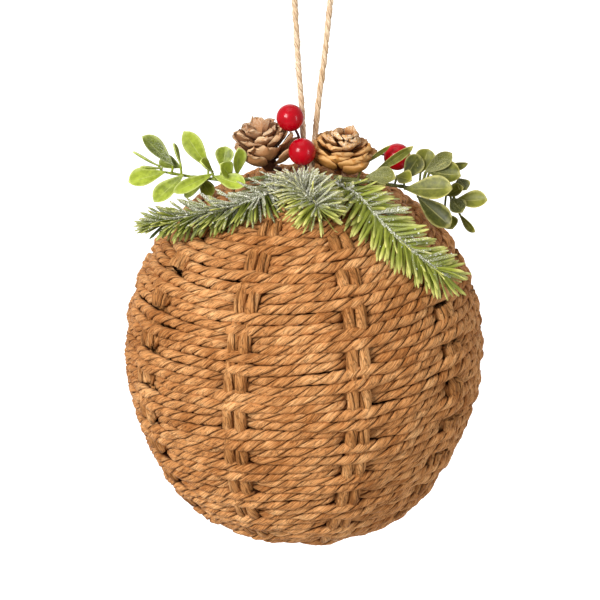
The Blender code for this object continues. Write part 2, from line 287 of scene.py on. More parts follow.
@dataclass(frozen=True)
class RopeFinish:
    """Twisted natural fibre: ply streaks, painted shade in folds, grooves and gaps, patches of tone.
    """

    name: str
    pale: Triple
    body: Triple
    deep: Triple
    # Painted shade: the colour laid into folds, grooves and gaps
    painted_shade: Triple
    streak_height: float = 0.00022
    # How strongly that painted shade shows
    painted_shade_strength: float = 1.0
    roughness: float = 0.62
    shine: float = 0.10
    streak_scale: Triple = (0.16, 1.9, 1.9)
    hair_scale: Triple = (0.22, 6.5, 6.5)
    fold_scale: Triple = (0.30, 1.1, 1.1)
    patch_scale: float = 55.0

    def material(self) -> bpy.types.Material:
        """Build the material.

        Returns:
            The material, which reads the marks grain (mm along and round a ply), shade (painted
            shade,
            1 down in grooves and gaps) and tone (paler or darker rope, -1 to 1).
        """
        bench = Bench(self.name)
        grain = bench.mark("grain", "Vector")
        streaks = bench.noise(bench.scaled(grain, self.streak_scale), 1.0, 3.0, 0.62)
        hairs = bench.noise(bench.scaled(grain, self.hair_scale), 1.0, 2.0, 0.55)
        folds = bench.noise(bench.scaled(grain, self.fold_scale), 1.0, 1.0)
        crease = (1.0 - abs(folds * 2.0 - 1.0)).between(0.90, 0.985)
        patches = bench.noise(bench.place(), self.patch_scale, 2.0)
        tone = bench.mark("tone")
        lift = (streaks.between(0.30, 0.72) * 0.55 + hairs.between(0.3, 0.7) * 0.25
                + patches.between(0.3, 0.7) * 0.25 + tone * 0.22 - 0.06).clamped()
        colour = bench.blend(lift.between(0.0, 0.55), self.deep, self.body)
        colour = bench.blend(lift.between(0.5, 1.0), colour, self.pale)
        # Painted shade along the fold lines
        colour = bench.blend(crease * 0.55, colour, self.painted_shade)
        shade = bench.mark("shade")
        # Painted shade by the shade mark: grooves between plies, gaps between ropes, beside stakes
        colour = bench.blend((shade * shade * self.painted_shade_strength).clamped(), colour, self.painted_shade)
        height = streaks * 0.6 + hairs * 0.35 - crease * 0.5
        return bench.dress(Base_Color=colour, Roughness=self.roughness,
                           Specular_IOR_Level=self.shine,
                           Normal=bench.bump(height, self.streak_height))


@dataclass(frozen=True)
class ScaleFinish:
    """A dry cone's scales: dark at the root, woody faces with fine grain, pale dusty lips."""

    name: str
    root: Triple
    face: Triple
    lip: Triple
    dust: Triple
    dusting: float = 0.4
    roughness: float = 0.66
    shine: float = 0.3
    relief: float = 0.00016
    streak_scale: Triple = (0.35, 2.6, 2.6)
    speckle_scale: float = 2.2

    def material(self) -> bpy.types.Material:
        """Build the material.

        Returns:
            The material, which reads the marks grain (mm), along (0 root, 1 tip), across (-1 to
            1), tone and height (0 lowest scale, 1 highest).
        """
        bench = Bench(self.name)
        grain = bench.mark("grain", "Vector")
        along = bench.mark("along")
        across = abs(bench.mark("across"))
        streaks = bench.noise(bench.scaled(grain, self.streak_scale), 1.0, 3.0, 0.6)
        speckle = bench.noise(grain, self.speckle_scale, 3.0, 0.65)
        tone = bench.mark("tone")
        grown = (along + (streaks - 0.5) * 0.5 + tone * 0.12).between(0.12, 0.62)
        colour = bench.blend(grown, self.root, self.face)
        edge = along * 0.75 + across * across * 0.35 + (speckle - 0.5) * 0.35
        colour = bench.blend(edge.between(0.72, 1.05) * 0.7, colour, self.lip)
        dusty = (speckle.between(0.42, 0.62) * along.between(0.35, 0.9)
                 * bench.mark("height").between(0.35, 1.0) * self.dusting * 2.0).clamped()
        colour = bench.blend(dusty, colour, self.dust)
        colour = bench.blend((0.5 - tone * 0.5).clamped() * 0.35, colour, self.root)
        height = streaks * 0.5 + speckle * 0.6
        return bench.dress(Base_Color=colour, Roughness=self.roughness,
                           Specular_IOR_Level=self.shine,
                           Normal=bench.bump(height, self.relief))


@dataclass(frozen=True)
class LeafFinish:
    """Soft moulded leaves: a midrib, painted highlights on rims and tips, mottled faces, some frost.
    """

    name: str
    rich: Triple
    fresh: Triple
    # Painted highlight for rims and tips, and also the midrib's own paler colour
    rim_highlight_and_rib: Triple
    darkest_leaf: Triple
    frost: Triple
    rim_from: float = 0.60
    roughness: float = 0.46
    shine: float = 0.35
    relief: float = 0.00018
    mottle_scale: float = 0.55
    frost_scale: float = 3.2

    def material(self) -> bpy.types.Material:
        """Build the material.

        Returns:
            The material, which reads the marks grain (mm), along, across, tone (-1 dark, 1
            bright) and frost (0 to 1).
        """
        bench = Bench(self.name)
        grain = bench.mark("grain", "Vector")
        along = bench.mark("along")
        across = abs(bench.mark("across"))
        tone = bench.mark("tone")
        mottle = bench.noise(grain, self.mottle_scale, 3.0, 0.6)
        fine = bench.noise(grain, self.frost_scale, 2.0, 0.6)
        # Lighter towards the tip, so painted shade at the base
        bright = (mottle.between(0.32, 0.7) * 0.50 + tone * 0.45 + along * 0.42 - 0.05).clamped()
        colour = bench.blend(bright, self.rich, self.fresh)
        # Leaves of the lowest tone go darker still
        colour = bench.blend((0.0 - tone - 0.35).clamped() * 1.3, colour, self.darkest_leaf)
        # Painted highlights on rims and tips; the paler midrib is the leaf's own
        lit_rim = (across + (mottle - 0.5) * 0.3).between(self.rim_from, 1.0)
        lit_tip = (along + (mottle - 0.5) * 0.2).between(0.86, 1.02)
        rib = across.between(0.10, 0.0) * along.between(0.95, 0.6)
        colour = bench.blend((lit_rim * 0.6 + lit_tip * 0.45 + rib * 0.30).clamped(), colour,
                             self.rim_highlight_and_rib)
        grains = fine.between(0.40, 0.62)
        icy = (bench.mark("frost") * (0.35 + grains * 0.9)).between(0.18, 0.75)
        colour = bench.blend(icy * 0.85, colour, self.frost)
        height = mottle * 0.4 - rib * 0.5 + icy * grains * 0.9
        return bench.dress(Base_Color=colour, Roughness=self.roughness + icy * 0.25,
                           Specular_IOR_Level=self.shine,
                           Normal=bench.bump(height, self.relief))


@dataclass(frozen=True)
class NeedleFinish:
    """Moulded fir needles: green with pale tips, grainy white frost where it settled."""

    name: str
    shaded: Triple
    green: Triple
    tip: Triple
    frost: Triple
    roughness: float = 0.5
    shine: float = 0.35
    relief: float = 0.0002
    mottle_scale: float = 0.8
    frost_scale: float = 3.4

    def material(self) -> bpy.types.Material:
        """Build the material.

        Returns:
            The material, which reads the marks grain (mm), along, across, tone and frost.
        """
        bench = Bench(self.name)
        grain = bench.mark("grain", "Vector")
        along = bench.mark("along")
        across = abs(bench.mark("across"))
        tone = bench.mark("tone")
        mottle = bench.noise(grain, self.mottle_scale, 2.0, 0.6)
        fine = bench.noise(grain, self.frost_scale, 2.0, 0.65)
        bright = (mottle * 0.6 + tone * 0.4 + along * 0.2 + 0.05).clamped()
        colour = bench.blend(bright, self.shaded, self.green)
        pale = along.between(0.55, 1.0) * 0.75 + across.between(0.6, 1.0) * 0.3
        colour = bench.blend((pale * (tone * 0.6 + 0.55)).clamped(), colour, self.tip)
        grains = fine.between(0.40, 0.58)
        icy = (bench.mark("frost") * (0.30 + grains * 1.0)).between(0.30, 0.72)
        colour = bench.blend(icy * 0.92, colour, self.frost)
        height = mottle * 0.3 + icy * grains
        return bench.dress(Base_Color=colour, Roughness=self.roughness + icy * 0.2,
                           Specular_IOR_Level=self.shine,
                           Normal=bench.bump(height, self.relief))


@dataclass(frozen=True)
class GlossFinish:
    """A berry's hard shiny skin, with the faintest unevenness."""

    name: str
    colour: Triple
    low: Triple
    roughness: float = 0.20
    shine: float = 0.22
    coat: float = 0.10
    coat_roughness: float = 0.04
    relief: float = 0.00002
    cloud_scale: float = 240.0

    def material(self) -> bpy.types.Material:
        """Build the material.

        Returns:
            The material, which reads Object coordinates alone.
        """
        bench = Bench(self.name)
        cloud = bench.noise(bench.place(), self.cloud_scale, 2.0)
        colour = bench.blend(cloud.between(0.3, 0.7), self.low, self.colour)
        return bench.dress(Base_Color=colour, Roughness=self.roughness + cloud * 0.05,
                           Specular_IOR_Level=self.shine, Coat_Weight=self.coat,
                           Coat_Roughness=self.coat_roughness,
                           Normal=bench.bump(cloud, self.relief))


@dataclass(frozen=True)
class BackdropFinish:
    """White paper, lit from behind where it stands behind the ball."""

    name: str
    paper: float = 0.66
    glow: float = 0.85
    faint: float = 0.16
    lit_to: float = 0.5
    faint_from: float = 1.0
    faint_before: float = 0.25
    lit_beyond: float = 0.6

    def material(self) -> bpy.types.Material:
        """Build the material.

        Returns:
            The material, by Object coordinates: the glow fades to a faint one to either side
            and towards the front.
        """
        bench = Bench(self.name)
        aside = abs(bench.part(bench.place(), "X"))
        behind = bench.part(bench.place(), "Y")
        lit = (aside.between(self.faint_from, self.lit_to)
               * behind.between(self.faint_before, self.lit_beyond))
        glow = bench.blend(lit, (self.faint,) * 3, (1.0, 1.0, 1.0))
        return bench.dress(Base_Color=(self.paper,) * 3, Roughness=0.9, Specular_IOR_Level=0.0,
                           Emission_Color=glow, Emission_Strength=self.glow)


@dataclass(frozen=True)
class PlainFinish:
    """One colour with a fine unevenness, for wires, frost crumbs and the studio."""

    name: str
    colour: Triple
    other: Triple
    scale: float = 900.0
    roughness: float = 0.6
    bump_height: float = 0.0001

    def material(self) -> bpy.types.Material:
        """Build the material.

        Returns:
            The material, which reads Object coordinates alone.
        """
        bench = Bench(self.name)
        cloud = bench.noise(bench.place(), self.scale, 3.0)
        colour = bench.blend(cloud.between(0.3, 0.7), self.colour, self.other)
        return bench.dress(Base_Color=colour, Roughness=self.roughness,
                           Normal=bench.bump(cloud, self.bump_height))


# Surfaces


def unit(vectors: Array) -> Array:
    """Vectors along the last axis, made one metre long."""
    return vectors / np.maximum(np.linalg.norm(vectors, axis=-1, keepdims=True), 1e-12)


def wander(along: Array, wavelength: float, dice: np.random.Generator) -> Array:
    """A smooth unsteadiness along a line.

    Args:
        along: Distances along it.
        wavelength: The middle one of its waves' lengths.
        dice: Where its phases come from.

    Returns:
        About -1 to 1 at each distance: a sum of sines of several wavelengths and phases.
    """
    lengths = wavelength * dice.uniform(0.6, 1.8, WAVES)
    phases = dice.uniform(0.0, 2.0 * math.pi, WAVES)
    turns = 2.0 * math.pi * along[..., None] / lengths + phases
    return np.sin(turns).sum(axis=-1) / math.sqrt(WAVES)


def bell(way: Array, width: float) -> Array:
    """A bell curve, 1 where way is 0: e to the power of minus (way / width) squared."""
    return np.exp(-(way / width) ** 2)


def round_angles(sides: int) -> Array:
    """Even angles round a circle."""
    return 2.0 * math.pi * np.arange(sides) / sides


def spokes(first: Array, second: Array, sides: int) -> Array:
    """Directions round each of several rings.

    Args:
        first: Each ring's direction at angle 0.
        second: Each ring's direction a quarter turn on.
        sides: How many directions a ring has.

    Returns:
        The directions by ring, side and axis: first x cos t + second x sin t.
    """
    t = round_angles(sides)[:, None]
    return first[:, None] * np.cos(t) + second[:, None] * np.sin(t)


def smooth_path(knots: Array, count: int) -> Array:
    """Points of a smooth curve through the knots, evenly spaced along it.

    Args:
        knots: The points it goes through.
        count: How many points are wanted.

    Returns:
        The points. Between two knots each is a cubic of the share of the way, whose slopes at
        the knots are half the step from the knot before to the knot after.
    """
    ghosts = np.vstack([2 * knots[0] - knots[1], knots, 2 * knots[-1] - knots[-2]])
    share = np.linspace(0.0, 1.0, 24, endpoint=False)[:, None]
    a, b, c, d = (ghosts[i:len(ghosts) - 3 + i, None] for i in range(4))
    cubic = 0.5 * (2 * b + (c - a) * share + (2 * a - 5 * b + 4 * c - d) * share ** 2
                   + (3 * b - a - 3 * c + d) * share ** 3)
    return even_points(np.vstack([cubic.reshape(-1, 3), knots[-1:]]), count)


def read_line(line: Array, along: Array, wanted: Array) -> Array:
    """A line's places at the wanted distances, where along gives its points' own distances."""
    return np.stack([np.interp(wanted, along, line[:, axis]) for axis in range(3)], axis=1)


def even_points(line: Array, count: int) -> Array:
    """A line's points, moved to even distances along it."""
    along = distances(line)
    return read_line(line, along, np.linspace(0.0, along[-1], count))


def distances(line: Array) -> Array:
    """How far along a line each of its points is."""
    return np.concatenate([[0.0], np.cumsum(np.linalg.norm(np.diff(line, axis=0), axis=1))])


def tube_faces(rings: int, sides: int) -> tuple[Array, Array]:
    """Faces of a closed tube whose points are its rings in order, then its two end centres.

    Args:
        rings: How many rings it has.
        sides: How many points a ring has.

    Returns:
        Its four-cornered sides and its three-cornered ends, as point numbers.
    """
    here = np.arange(sides)
    after = (here + 1) % sides
    first = np.stack([here, after, after + sides, here + sides], axis=-1)
    quads = (first[None] + np.arange(rings - 1)[:, None, None] * sides).reshape(-1, 4)
    last = (rings - 1) * sides
    start = np.stack([np.full(sides, rings * sides), after, here], axis=-1)
    stop = np.stack([np.full(sides, rings * sides + 1), here + last, after + last], axis=-1)
    return quads, np.concatenate([start, stop])


class Patchwork:
    """Closed tubes gathered into one mesh, with marks that its material reads."""

    def __init__(self, *marks: str) -> None:
        """Start with no tubes.

        Args:
            marks: The names of the mesh's attributes.
        """
        self.points: list[Array] = []
        self.quads: list[Array] = []
        self.triangles: list[Array] = []
        self.marks: dict[str, list[Array]] = {name: [] for name in marks}
        self.count = 0

    def add(self, rings: Array, **marks: Array | float) -> None:
        """Add several tubes of the same make, each closed over its two end rings.

        Args:
            rings: Points, by tube, ring, side and axis.
            marks: For each mark, a number or an array by tube, ring and side.
        """
        tubes, length, sides, _ = rings.shape
        ends = rings[:, [0, -1]].mean(axis=2)
        points = np.concatenate([rings.reshape(tubes, -1, 3), ends], axis=1)
        quads, triangles = tube_faces(length, sides)
        turned = self._volumes(points, quads, triangles) < 0.0
        starts = self.count + np.arange(tubes) * points.shape[1]
        for faces, kept in ((quads, self.quads), (triangles, self.triangles)):
            placed = faces[None] + starts[:, None, None]
            placed[turned] = placed[turned][:, :, ::-1]
            kept.append(placed.reshape(-1, faces.shape[1]))
        for name, values in self.marks.items():
            size = (3,) if name == "grain" else ()
            full = np.broadcast_to(marks.get(name, 0.0), rings.shape[:3] + size)
            tails = full[:, [0, -1]].mean(axis=2)
            flat = full.reshape((tubes, length * sides) + size)
            values.append(np.concatenate([flat, tails], axis=1).reshape((-1,) + size))
        self.points.append(points.reshape(-1, 3))
        self.count += tubes * points.shape[1]

    @staticmethod
    def _volumes(points: Array, quads: Array, triangles: Array) -> Array:
        """Work out each tube's volume: a sixth of the sum of corner . (corner x corner).

        Args:
            points: Points by tube and number.
            quads: Point numbers of the four-cornered faces.
            triangles: Point numbers of the three-cornered faces.

        Returns:
            The volumes, below 0 where a tube's faces look inwards.
        """
        total = 0.0
        local = points - points.mean(axis=1, keepdims=True)
        for a, b, c in (quads[:, [0, 1, 2]].T, quads[:, [0, 2, 3]].T, triangles.T):
            total = total + np.einsum("tfx,tfx->t", local[:, a],
                                      np.cross(local[:, b], local[:, c]))
        return total / 6.0

    def piece(self, name: str, material: bpy.types.Material,
              replaces: tuple[str, ...] = ()) -> bpy.types.Object:
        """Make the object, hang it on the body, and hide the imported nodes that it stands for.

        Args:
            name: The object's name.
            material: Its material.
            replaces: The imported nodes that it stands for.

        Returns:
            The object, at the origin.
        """
        points = np.concatenate(self.points)
        quads, triangles = np.concatenate(self.quads), np.concatenate(self.triangles)
        mesh = bpy.data.meshes.new(name)
        mesh.vertices.add(len(points))
        mesh.vertices.foreach_set("co", points.astype(np.float32).ravel())
        corners = np.concatenate([quads.ravel(), triangles.ravel()]).astype(np.int32)
        mesh.loops.add(len(corners))
        mesh.loops.foreach_set("vertex_index", corners)
        starts = np.concatenate([4 * np.arange(len(quads)),
                                 4 * len(quads) + 3 * np.arange(len(triangles))])
        mesh.polygons.add(len(starts))
        mesh.polygons.foreach_set("loop_start", starts.astype(np.int32))
        mesh.update(calc_edges=True)
        mesh.shade_smooth()
        for mark, values in self.marks.items():
            kind, key = ("FLOAT_VECTOR", "vector") if mark == "grain" else ("FLOAT", "value")
            layer = mesh.attributes.new(mark, kind, "POINT")
            layer.data.foreach_set(key, np.concatenate(values).astype(np.float32).ravel())
        mesh.materials.append(material)
        made = put_out(name, mesh)
        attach(made, BODY)
        if replaces:
            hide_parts(*replaces)
        LOG.info("%s: %d triangles", name, 2 * len(quads) + len(triangles))
        return made


def put_out(name: str, data: bpy.types.ID) -> bpy.types.Object:
    """Make an object in the scene.

    Args:
        name: Its name.
        data: Its mesh, light or camera.

    Returns:
        The object.
    """
    made = bpy.data.objects.new(name, data)
    bpy.context.scene.collection.objects.link(made)
    return made


def tube_along(line: Array, radii: Array | float, sides: int, lift: Triple) -> Array:
    """Rings of a round tube along a line.

    Args:
        line: The line's points.
        radii: Its radius at each point, or one for all.
        sides: How many points a ring has.
        lift: A direction that the line never takes.

    Returns:
        Points by tube (one), ring, side and axis: line + radius x (cos t across + sin t up).
    """
    ahead = unit(np.gradient(line, axis=0))
    across = unit(np.cross(ahead, lift))
    up = np.cross(across, ahead)
    radii = np.broadcast_to(radii, len(line))[:, None, None]
    return (line[:, None] + radii * spokes(across, up, sides))[None]


@dataclass
class Blades:
    """Many leaves, needles or scales of one make, each a lens-shaped tube on a bent line.

    All arrays run over the blades: root and direction, the direction of the width, length, half
    width, half thickness, bend in radians along the whole blade, and cup, the share of the half
    width by which the edges stand up.
    """

    root: Array
    ahead: Array
    side: Array
    length: Array
    half_width: Array
    half_thickness: Array
    bend: Array
    cup: Array
    outline: Callable[[Array], Array]
    swell: Callable[[Array], Array]
    rings: int
    sides: int

    def surface(self) -> tuple[Array, dict[str, Array]]:
        """Work out the blades' points.

        With u from root to tip and t round the section, a point is the middle line at u, plus
        side x half width x outline(u) x cos t, plus the blade's own normal x (half thickness x
        swell(u) x sin t + cup x width x cos t squared). The middle line is an arc of a circle.

        Returns:
            The points by blade, ring, side and axis, and the marks along, across and grain.
        """
        u = np.linspace(0.0, 1.0, self.rings)
        t = round_angles(self.sides)
        side = unit(self.side - self.ahead * (self.side * self.ahead).sum(-1, keepdims=True))
        lift = np.cross(side, self.ahead)
        bend = np.where(np.abs(self.bend) < 1e-4, 1e-4, self.bend)[:, None]
        turned = bend * u
        forward = (self.length[:, None] * np.sin(turned) / bend)[..., None]
        raised = (self.length[:, None] * (1.0 - np.cos(turned)) / bend)[..., None]
        middle = (self.root[:, None] + forward * self.ahead[:, None] + raised * lift[:, None])
        normal = (lift[:, None] * np.cos(turned)[..., None]
                  - self.ahead[:, None] * np.sin(turned)[..., None])
        width = (self.half_width[:, None] * self.outline(u))[..., None]
        depth = (self.half_thickness[:, None] * self.swell(u))[..., None]
        cup = self.cup[:, None, None] * width
        out = depth * np.sin(t) + cup * np.cos(t) ** 2
        rings = (middle[:, :, None] + side[:, None, None] * (width * np.cos(t))[..., None]
                 + normal[:, :, None] * out[..., None])
        shape = rings.shape[:3]
        along = np.broadcast_to(u[None, :, None], shape)
        across = np.broadcast_to(np.cos(t), shape)
        number = np.arange(len(self.root))[:, None, None] * 37.0
        grain = np.stack([along * self.length[:, None, None] / MM + number,
                          np.broadcast_to(width * np.cos(t), shape) / MM,
                          np.broadcast_to(out, shape) / MM + number], axis=-1)
        return rings, {"along": along, "across": across, "grain": grain}


def spoon(u: Array) -> Array:
    """A spoon-shaped leaf's half width, as a share: a narrow foot that widens to a round tip."""
    return np.maximum(0.08, np.sin(math.pi * np.clip(u, 0.0, 1.0) ** 1.7) ** 0.55)


def needle_outline(u: Array) -> Array:
    """A flat needle's half width, as a share: even, then a blunt point."""
    return np.clip(0.8 + 0.5 * u, 0.0, 1.0) * np.clip((1.015 - u) * 7.0, 0.0, 1.0) ** 0.5


def fan(u: Array) -> Array:
    """A cone scale's half width, as a share: a narrow root and a broad round lip."""
    return ((0.22 + 0.78 * np.clip(u / 0.72, 0.0, 1.0) ** 0.8)
            * np.clip((1.0 - u) / 0.26, 0.02, 1.0) ** 0.42)


def level(u: Array) -> Array:
    """The same thickness all along."""
    return np.ones_like(u)


def thick_lip(u: Array) -> Array:
    """A scale that thickens towards its lip."""
    return 0.7 + 0.6 * u ** 2


# The ball


@dataclass
class Ball:
    """The woven ball's middle surface, and how its rows wind over it.

    The meridian is a spheroid's, a little fuller between equator and pole: distance from the
    axis is radius x cos(latitude)^fullness, and height is half height x sin(latitude)^fullness.
    The first and last plain_turns of the spiral pass no stake.
    """

    radius: float = 0.0641
    half_height: float = 0.0676
    fullness: float = 0.95
    swing: float = 0.002362
    rope_half: float = 0.0016
    band_width: float = 0.0063
    fit_gap: float = 0.0003
    stakes: int = 9
    first_stake: float = math.radians(-72.0)
    turns: int = 28
    plain_turns: int = 1
    bottom_eye: float = 0.0006
    top_eye: float = 0.00245
    loop_rise: float = 0.090
    tilt: float = 0.0037
    sag: float = 0.0007
    bulge: float = 0.0013
    bulge_arc: float = 0.036
    bulge_width: float = 0.013
    waist: float = 0.0009
    waist_arc: float = 0.072
    waist_width: float = 0.014
    drift: float = 0.0007
    table_size: int = 1801
    meridian: dict[str, Array] = field(init=False, default_factory=dict)

    def __post_init__(self) -> None:
        """Tabulate the meridian by its length from the bottom pole."""
        latitude = np.linspace(-math.pi / 2, math.pi / 2, self.table_size)
        inset = self.swing + self.rope_half
        rho = (self.radius - inset) * np.abs(np.cos(latitude)) ** self.fullness
        height = ((self.half_height - inset) * np.sign(latitude)
                  * np.abs(np.sin(latitude)) ** self.fullness)
        arc = np.concatenate([[0.0], np.cumsum(np.hypot(np.diff(rho), np.diff(height)))])
        self.meridian = {"arc": arc, "rho": rho, "height": height,
                         "rho_slope": np.gradient(rho, arc),
                         "height_slope": np.gradient(height, arc)}

    @property
    def centre(self) -> Array:
        """The ball's centre."""
        return np.array([0.0, 0.0, -(self.loop_rise + self.half_height)])

    @property
    def crown_z(self) -> float:
        """The height of the ball's top."""
        return -self.loop_rise

    @property
    def start(self) -> float:
        """The arc at which the spiral's middle line starts."""
        return self.bottom_eye + self.band_width / 2

    @property
    def stop(self) -> float:
        """The arc at which the spiral's middle line ends."""
        return self.meridian["arc"][-1] - self.top_eye - self.band_width / 2

    @property
    def pitch(self) -> float:
        """The arc from one turn to the next."""
        return (self.stop - self.start) / self.turns

    def read(self, key: str, arc: Array) -> Array:
        """A column of the meridian's table at the given arcs."""
        return np.interp(arc, self.meridian["arc"], self.meridian[key])

    def row_arc(self, crossing: Array) -> Array:
        """Work out the arc of the spiral's middle line.

        It rises by a pitch a turn. Hand work tilts the rows between the poles, by tilt x
        cos(azimuth) x sin(pi x share of the turns), and lets them sag a little.

        Args:
            crossing: How many stakes the rope has crossed since its start.

        Returns:
            The arc there.
        """
        fade = np.sin(math.pi * crossing / (self.stakes * self.turns))
        lean = self.tilt * np.cos(self.azimuth(crossing)) - self.sag
        return self.start + self.pitch * crossing / self.stakes + lean * fade

    def azimuth(self, crossing: Array) -> Array:
        """The direction around the ball at a count of stake crossings."""
        return self.first_stake + crossing * 2.0 * math.pi / self.stakes

    def at(self, arc: Array, azimuth: Array, out: Array) -> Array:
        """Points over the middle surface, which hand work has left a little uneven.

        Args:
            arc: Length along the meridian from the bottom pole.
            azimuth: Direction around the axis.
            out: Height over the surface, along its normal.

        Returns:
            The points. Low down the ball stands out by up to the bulge, and above that it pulls
            in by up to the waist, both as bells over the arc. Rows drift by up to about a
            millimetre, as two products of slow waves in azimuth and arc.
        """
        out = out + self.bulge * bell(arc - self.bulge_arc, self.bulge_width)
        out = out - self.waist * bell(arc - self.waist_arc, self.waist_width)
        fade = np.sin(math.pi * np.clip(arc / self.meridian["arc"][-1], 0.0, 1.0)) ** 2
        drift = (np.sin(3.0 * azimuth + 170.0 * arc + 0.6) * np.sin(95.0 * arc - azimuth)
                 + 0.6 * np.sin(5.0 * azimuth - 110.0 * arc) * np.cos(2.0 * azimuth + 260.0 * arc))
        arc = arc + self.drift * fade * drift
        rho = self.read("rho", arc) + out * self.read("height_slope", arc)
        height = self.read("height", arc) - out * self.read("rho_slope", arc)
        return self.centre + np.stack([rho * np.cos(azimuth), rho * np.sin(azimuth),
                                       height], axis=-1)

    def normal(self, arc: Array, azimuth: Array) -> Array:
        """Work out the surface's outward directions.

        Args:
            arc: Length along the meridian from the bottom pole.
            azimuth: Direction around the axis.

        Returns:
            The directions: the meridian's slope, turned a quarter turn outwards.
        """
        flat = self.read("height_slope", arc)
        return unit(np.stack([flat * np.cos(azimuth), flat * np.sin(azimuth),
                              -self.read("rho_slope", arc)], axis=-1))

    def over(self, tilt: float, azimuth: float, height: float) -> Array:
        """A point over the ball's outside.

        Args:
            tilt: Degrees from the ball's top.
            azimuth: Degrees around from +X.
            height: Millimetres off the ball.

        Returns:
            The point.
        """
        polar, around = math.radians(tilt), math.radians(azimuth)
        normal = unit(np.array([math.sin(polar) * self.half_height,
                                math.cos(polar) * self.radius]))
        rho = self.radius * math.sin(polar) ** self.fullness + height * MM * normal[0]
        rise = self.half_height * math.cos(polar) ** self.fullness + height * MM * normal[1]
        return self.centre + np.array([rho * math.cos(around), rho * math.sin(around), rise])

    def on_crown(self, rope: Side, azimuth: float, radius: float) -> Array:
        """Find where a stem rests on the spiral's last turn.

        Args:
            rope: Which of the two ropes carries it.
            azimuth: Degrees around from +X.
            radius: The stem's radius.

        Returns:
            The stem's centre there.
        """
        around = math.radians(azimuth)
        turned = (around - self.first_stake) / (2.0 * math.pi) % 1.0
        arc = self.stop - self.pitch * (1.0 - turned) - rope.value * self.band_width / 4
        return self.at(np.array(arc), np.array(around),
                       np.array(self.swing + self.rope_half + self.fit_gap + radius))

    def keep_off(self, points: Array, height: float) -> Array:
        """Move points straight out where they come too near to the ball.

        Args:
            points: The points.
            height: How near they may come.

        Returns:
            The points, moved straight away from the ball's centre by what they are short of the
            height. How far out one lies is its share, which is 1 on the ball's outside.
        """
        away = points - self.centre
        rho = np.hypot(away[..., 0], away[..., 1]) / self.radius
        rise = np.abs(away[..., 2]) / self.half_height
        share = (rho ** (2 / self.fullness) + rise ** (2 / self.fullness)) ** (self.fullness / 2)
        far = np.linalg.norm(away, axis=-1)
        short = np.maximum(0.0, height - far * (1.0 - 1.0 / np.maximum(share, 0.2)))
        return points + away / far[..., None] * short[..., None]


@dataclass(frozen=True)
class Lay:
    """How two plies twist into a rope.

    Each ply's section is an oval, flattened where it presses on its twin along the rope's
    middle line. heart is how far out the oval's own middle lies, as a share of the reach. The
    painted shade of the grooves between plies grows with minus the cosine of the way round a
    ply, from groove_from on over groove_width. tone_waves holds pairs of an amount and a wavelength.
    """

    reach: float
    breadth: float
    lay_length: float
    step: float
    heart: float = 0.40
    thinnest: float = 0.008
    hand: Hand = Hand.LEFT
    unevenness: float = 0.16
    uneven_wave: float = 0.03
    lumps: float = 0.08
    lump_wave: float = 0.010
    tone_waves: tuple[tuple[float, float], ...] = ((0.7, 0.05), (0.5, 0.009))
    groove_from: float = 0.10
    groove_width: float = 0.50
    sides: int = 12

    def stations(self, line: Array) -> tuple[Array, Array]:
        """A line's distances, and even distances about a step apart from end to end of it."""
        along = distances(line)
        return along, np.linspace(0.0, along[-1], round(along[-1] / self.step) + 1)

    def plies(self, line: Array, outward: Array, dice: np.random.Generator,
              size: Array | float = 1.0) -> tuple[Array, dict[str, Array]]:
        """Twist two plies along a line.

        With angle a growing by a full turn every lay length, a ply's point at t round its
        section is line + (cos a out + sin a up) x reach x (heart + (1 - heart) cos t), never
        below the thinnest, + (cos a up - sin a out) x breadth x sin t. The second ply is half a
        turn on.

        Args:
            line: The rope's middle line, in even steps.
            outward: A direction out of the work at each point.
            dice: Where its unsteadiness comes from.
            size: The rope's thickness at each point, as a share.

        Returns:
            The points by ply, ring, side and axis, and the marks grain, shade and tone.
        """
        along = distances(line)
        ahead = unit(np.gradient(line, axis=0))
        out = unit(outward - ahead * (outward * ahead).sum(-1, keepdims=True))
        up = np.cross(out, ahead)
        rate = 1.0 + self.unevenness * wander(along, self.uneven_wave, dice)
        steps = np.concatenate([[0.0], np.cumsum(rate[1:] * np.diff(along))])
        start = dice.uniform(0.0, 2.0 * math.pi)
        t = 2.0 * math.pi * (np.arange(self.sides) + 0.5) / self.sides
        size = np.broadcast_to(size, along.shape)
        tubes, grains, shades, tones = [], [], [], []
        for ply in (0, 1):
            angle = start + math.pi * ply + self.hand.value * 2.0 * math.pi * steps / self.lay_length
            toward = (out * np.cos(angle)[:, None] + up * np.sin(angle)[:, None])[:, None]
            beside = (up * np.cos(angle)[:, None] - out * np.sin(angle)[:, None])[:, None]
            plump = size * (1.0 + self.lumps * wander(along, self.lump_wave, dice))
            oval = np.maximum(self.thinnest, self.heart + (1.0 - self.heart) * np.cos(t))
            reach = (self.reach * plump)[:, None] * oval
            aside = (self.breadth * plump)[:, None] * np.sin(t)
            tubes.append(line[:, None] + toward * reach[..., None] + beside * aside[..., None])
            shift = dice.uniform(0.0, 400.0)
            round_ply = np.broadcast_to(t, reach.shape)
            grains.append(np.stack([np.broadcast_to(along[:, None] / MM + shift, reach.shape),
                                    self.breadth / MM * np.cos(round_ply),
                                    self.breadth / MM * np.sin(round_ply) + shift], axis=-1))
            # Painted shade on each ply's inner side, down into the grooves between plies
            shade = np.clip((-self.groove_from - np.cos(t)) / self.groove_width, 0.0, 1.0)
            shades.append(np.broadcast_to(shade, reach.shape))
            tone = sum(share * wander(along, wave, dice) for share, wave in self.tone_waves)
            tones.append(np.broadcast_to(np.clip(tone, -1.0, 1.0)[:, None], reach.shape))
        return np.stack(tubes), {"grain": np.stack(grains), "shade": np.stack(shades),
                                 "tone": np.stack(tones)}


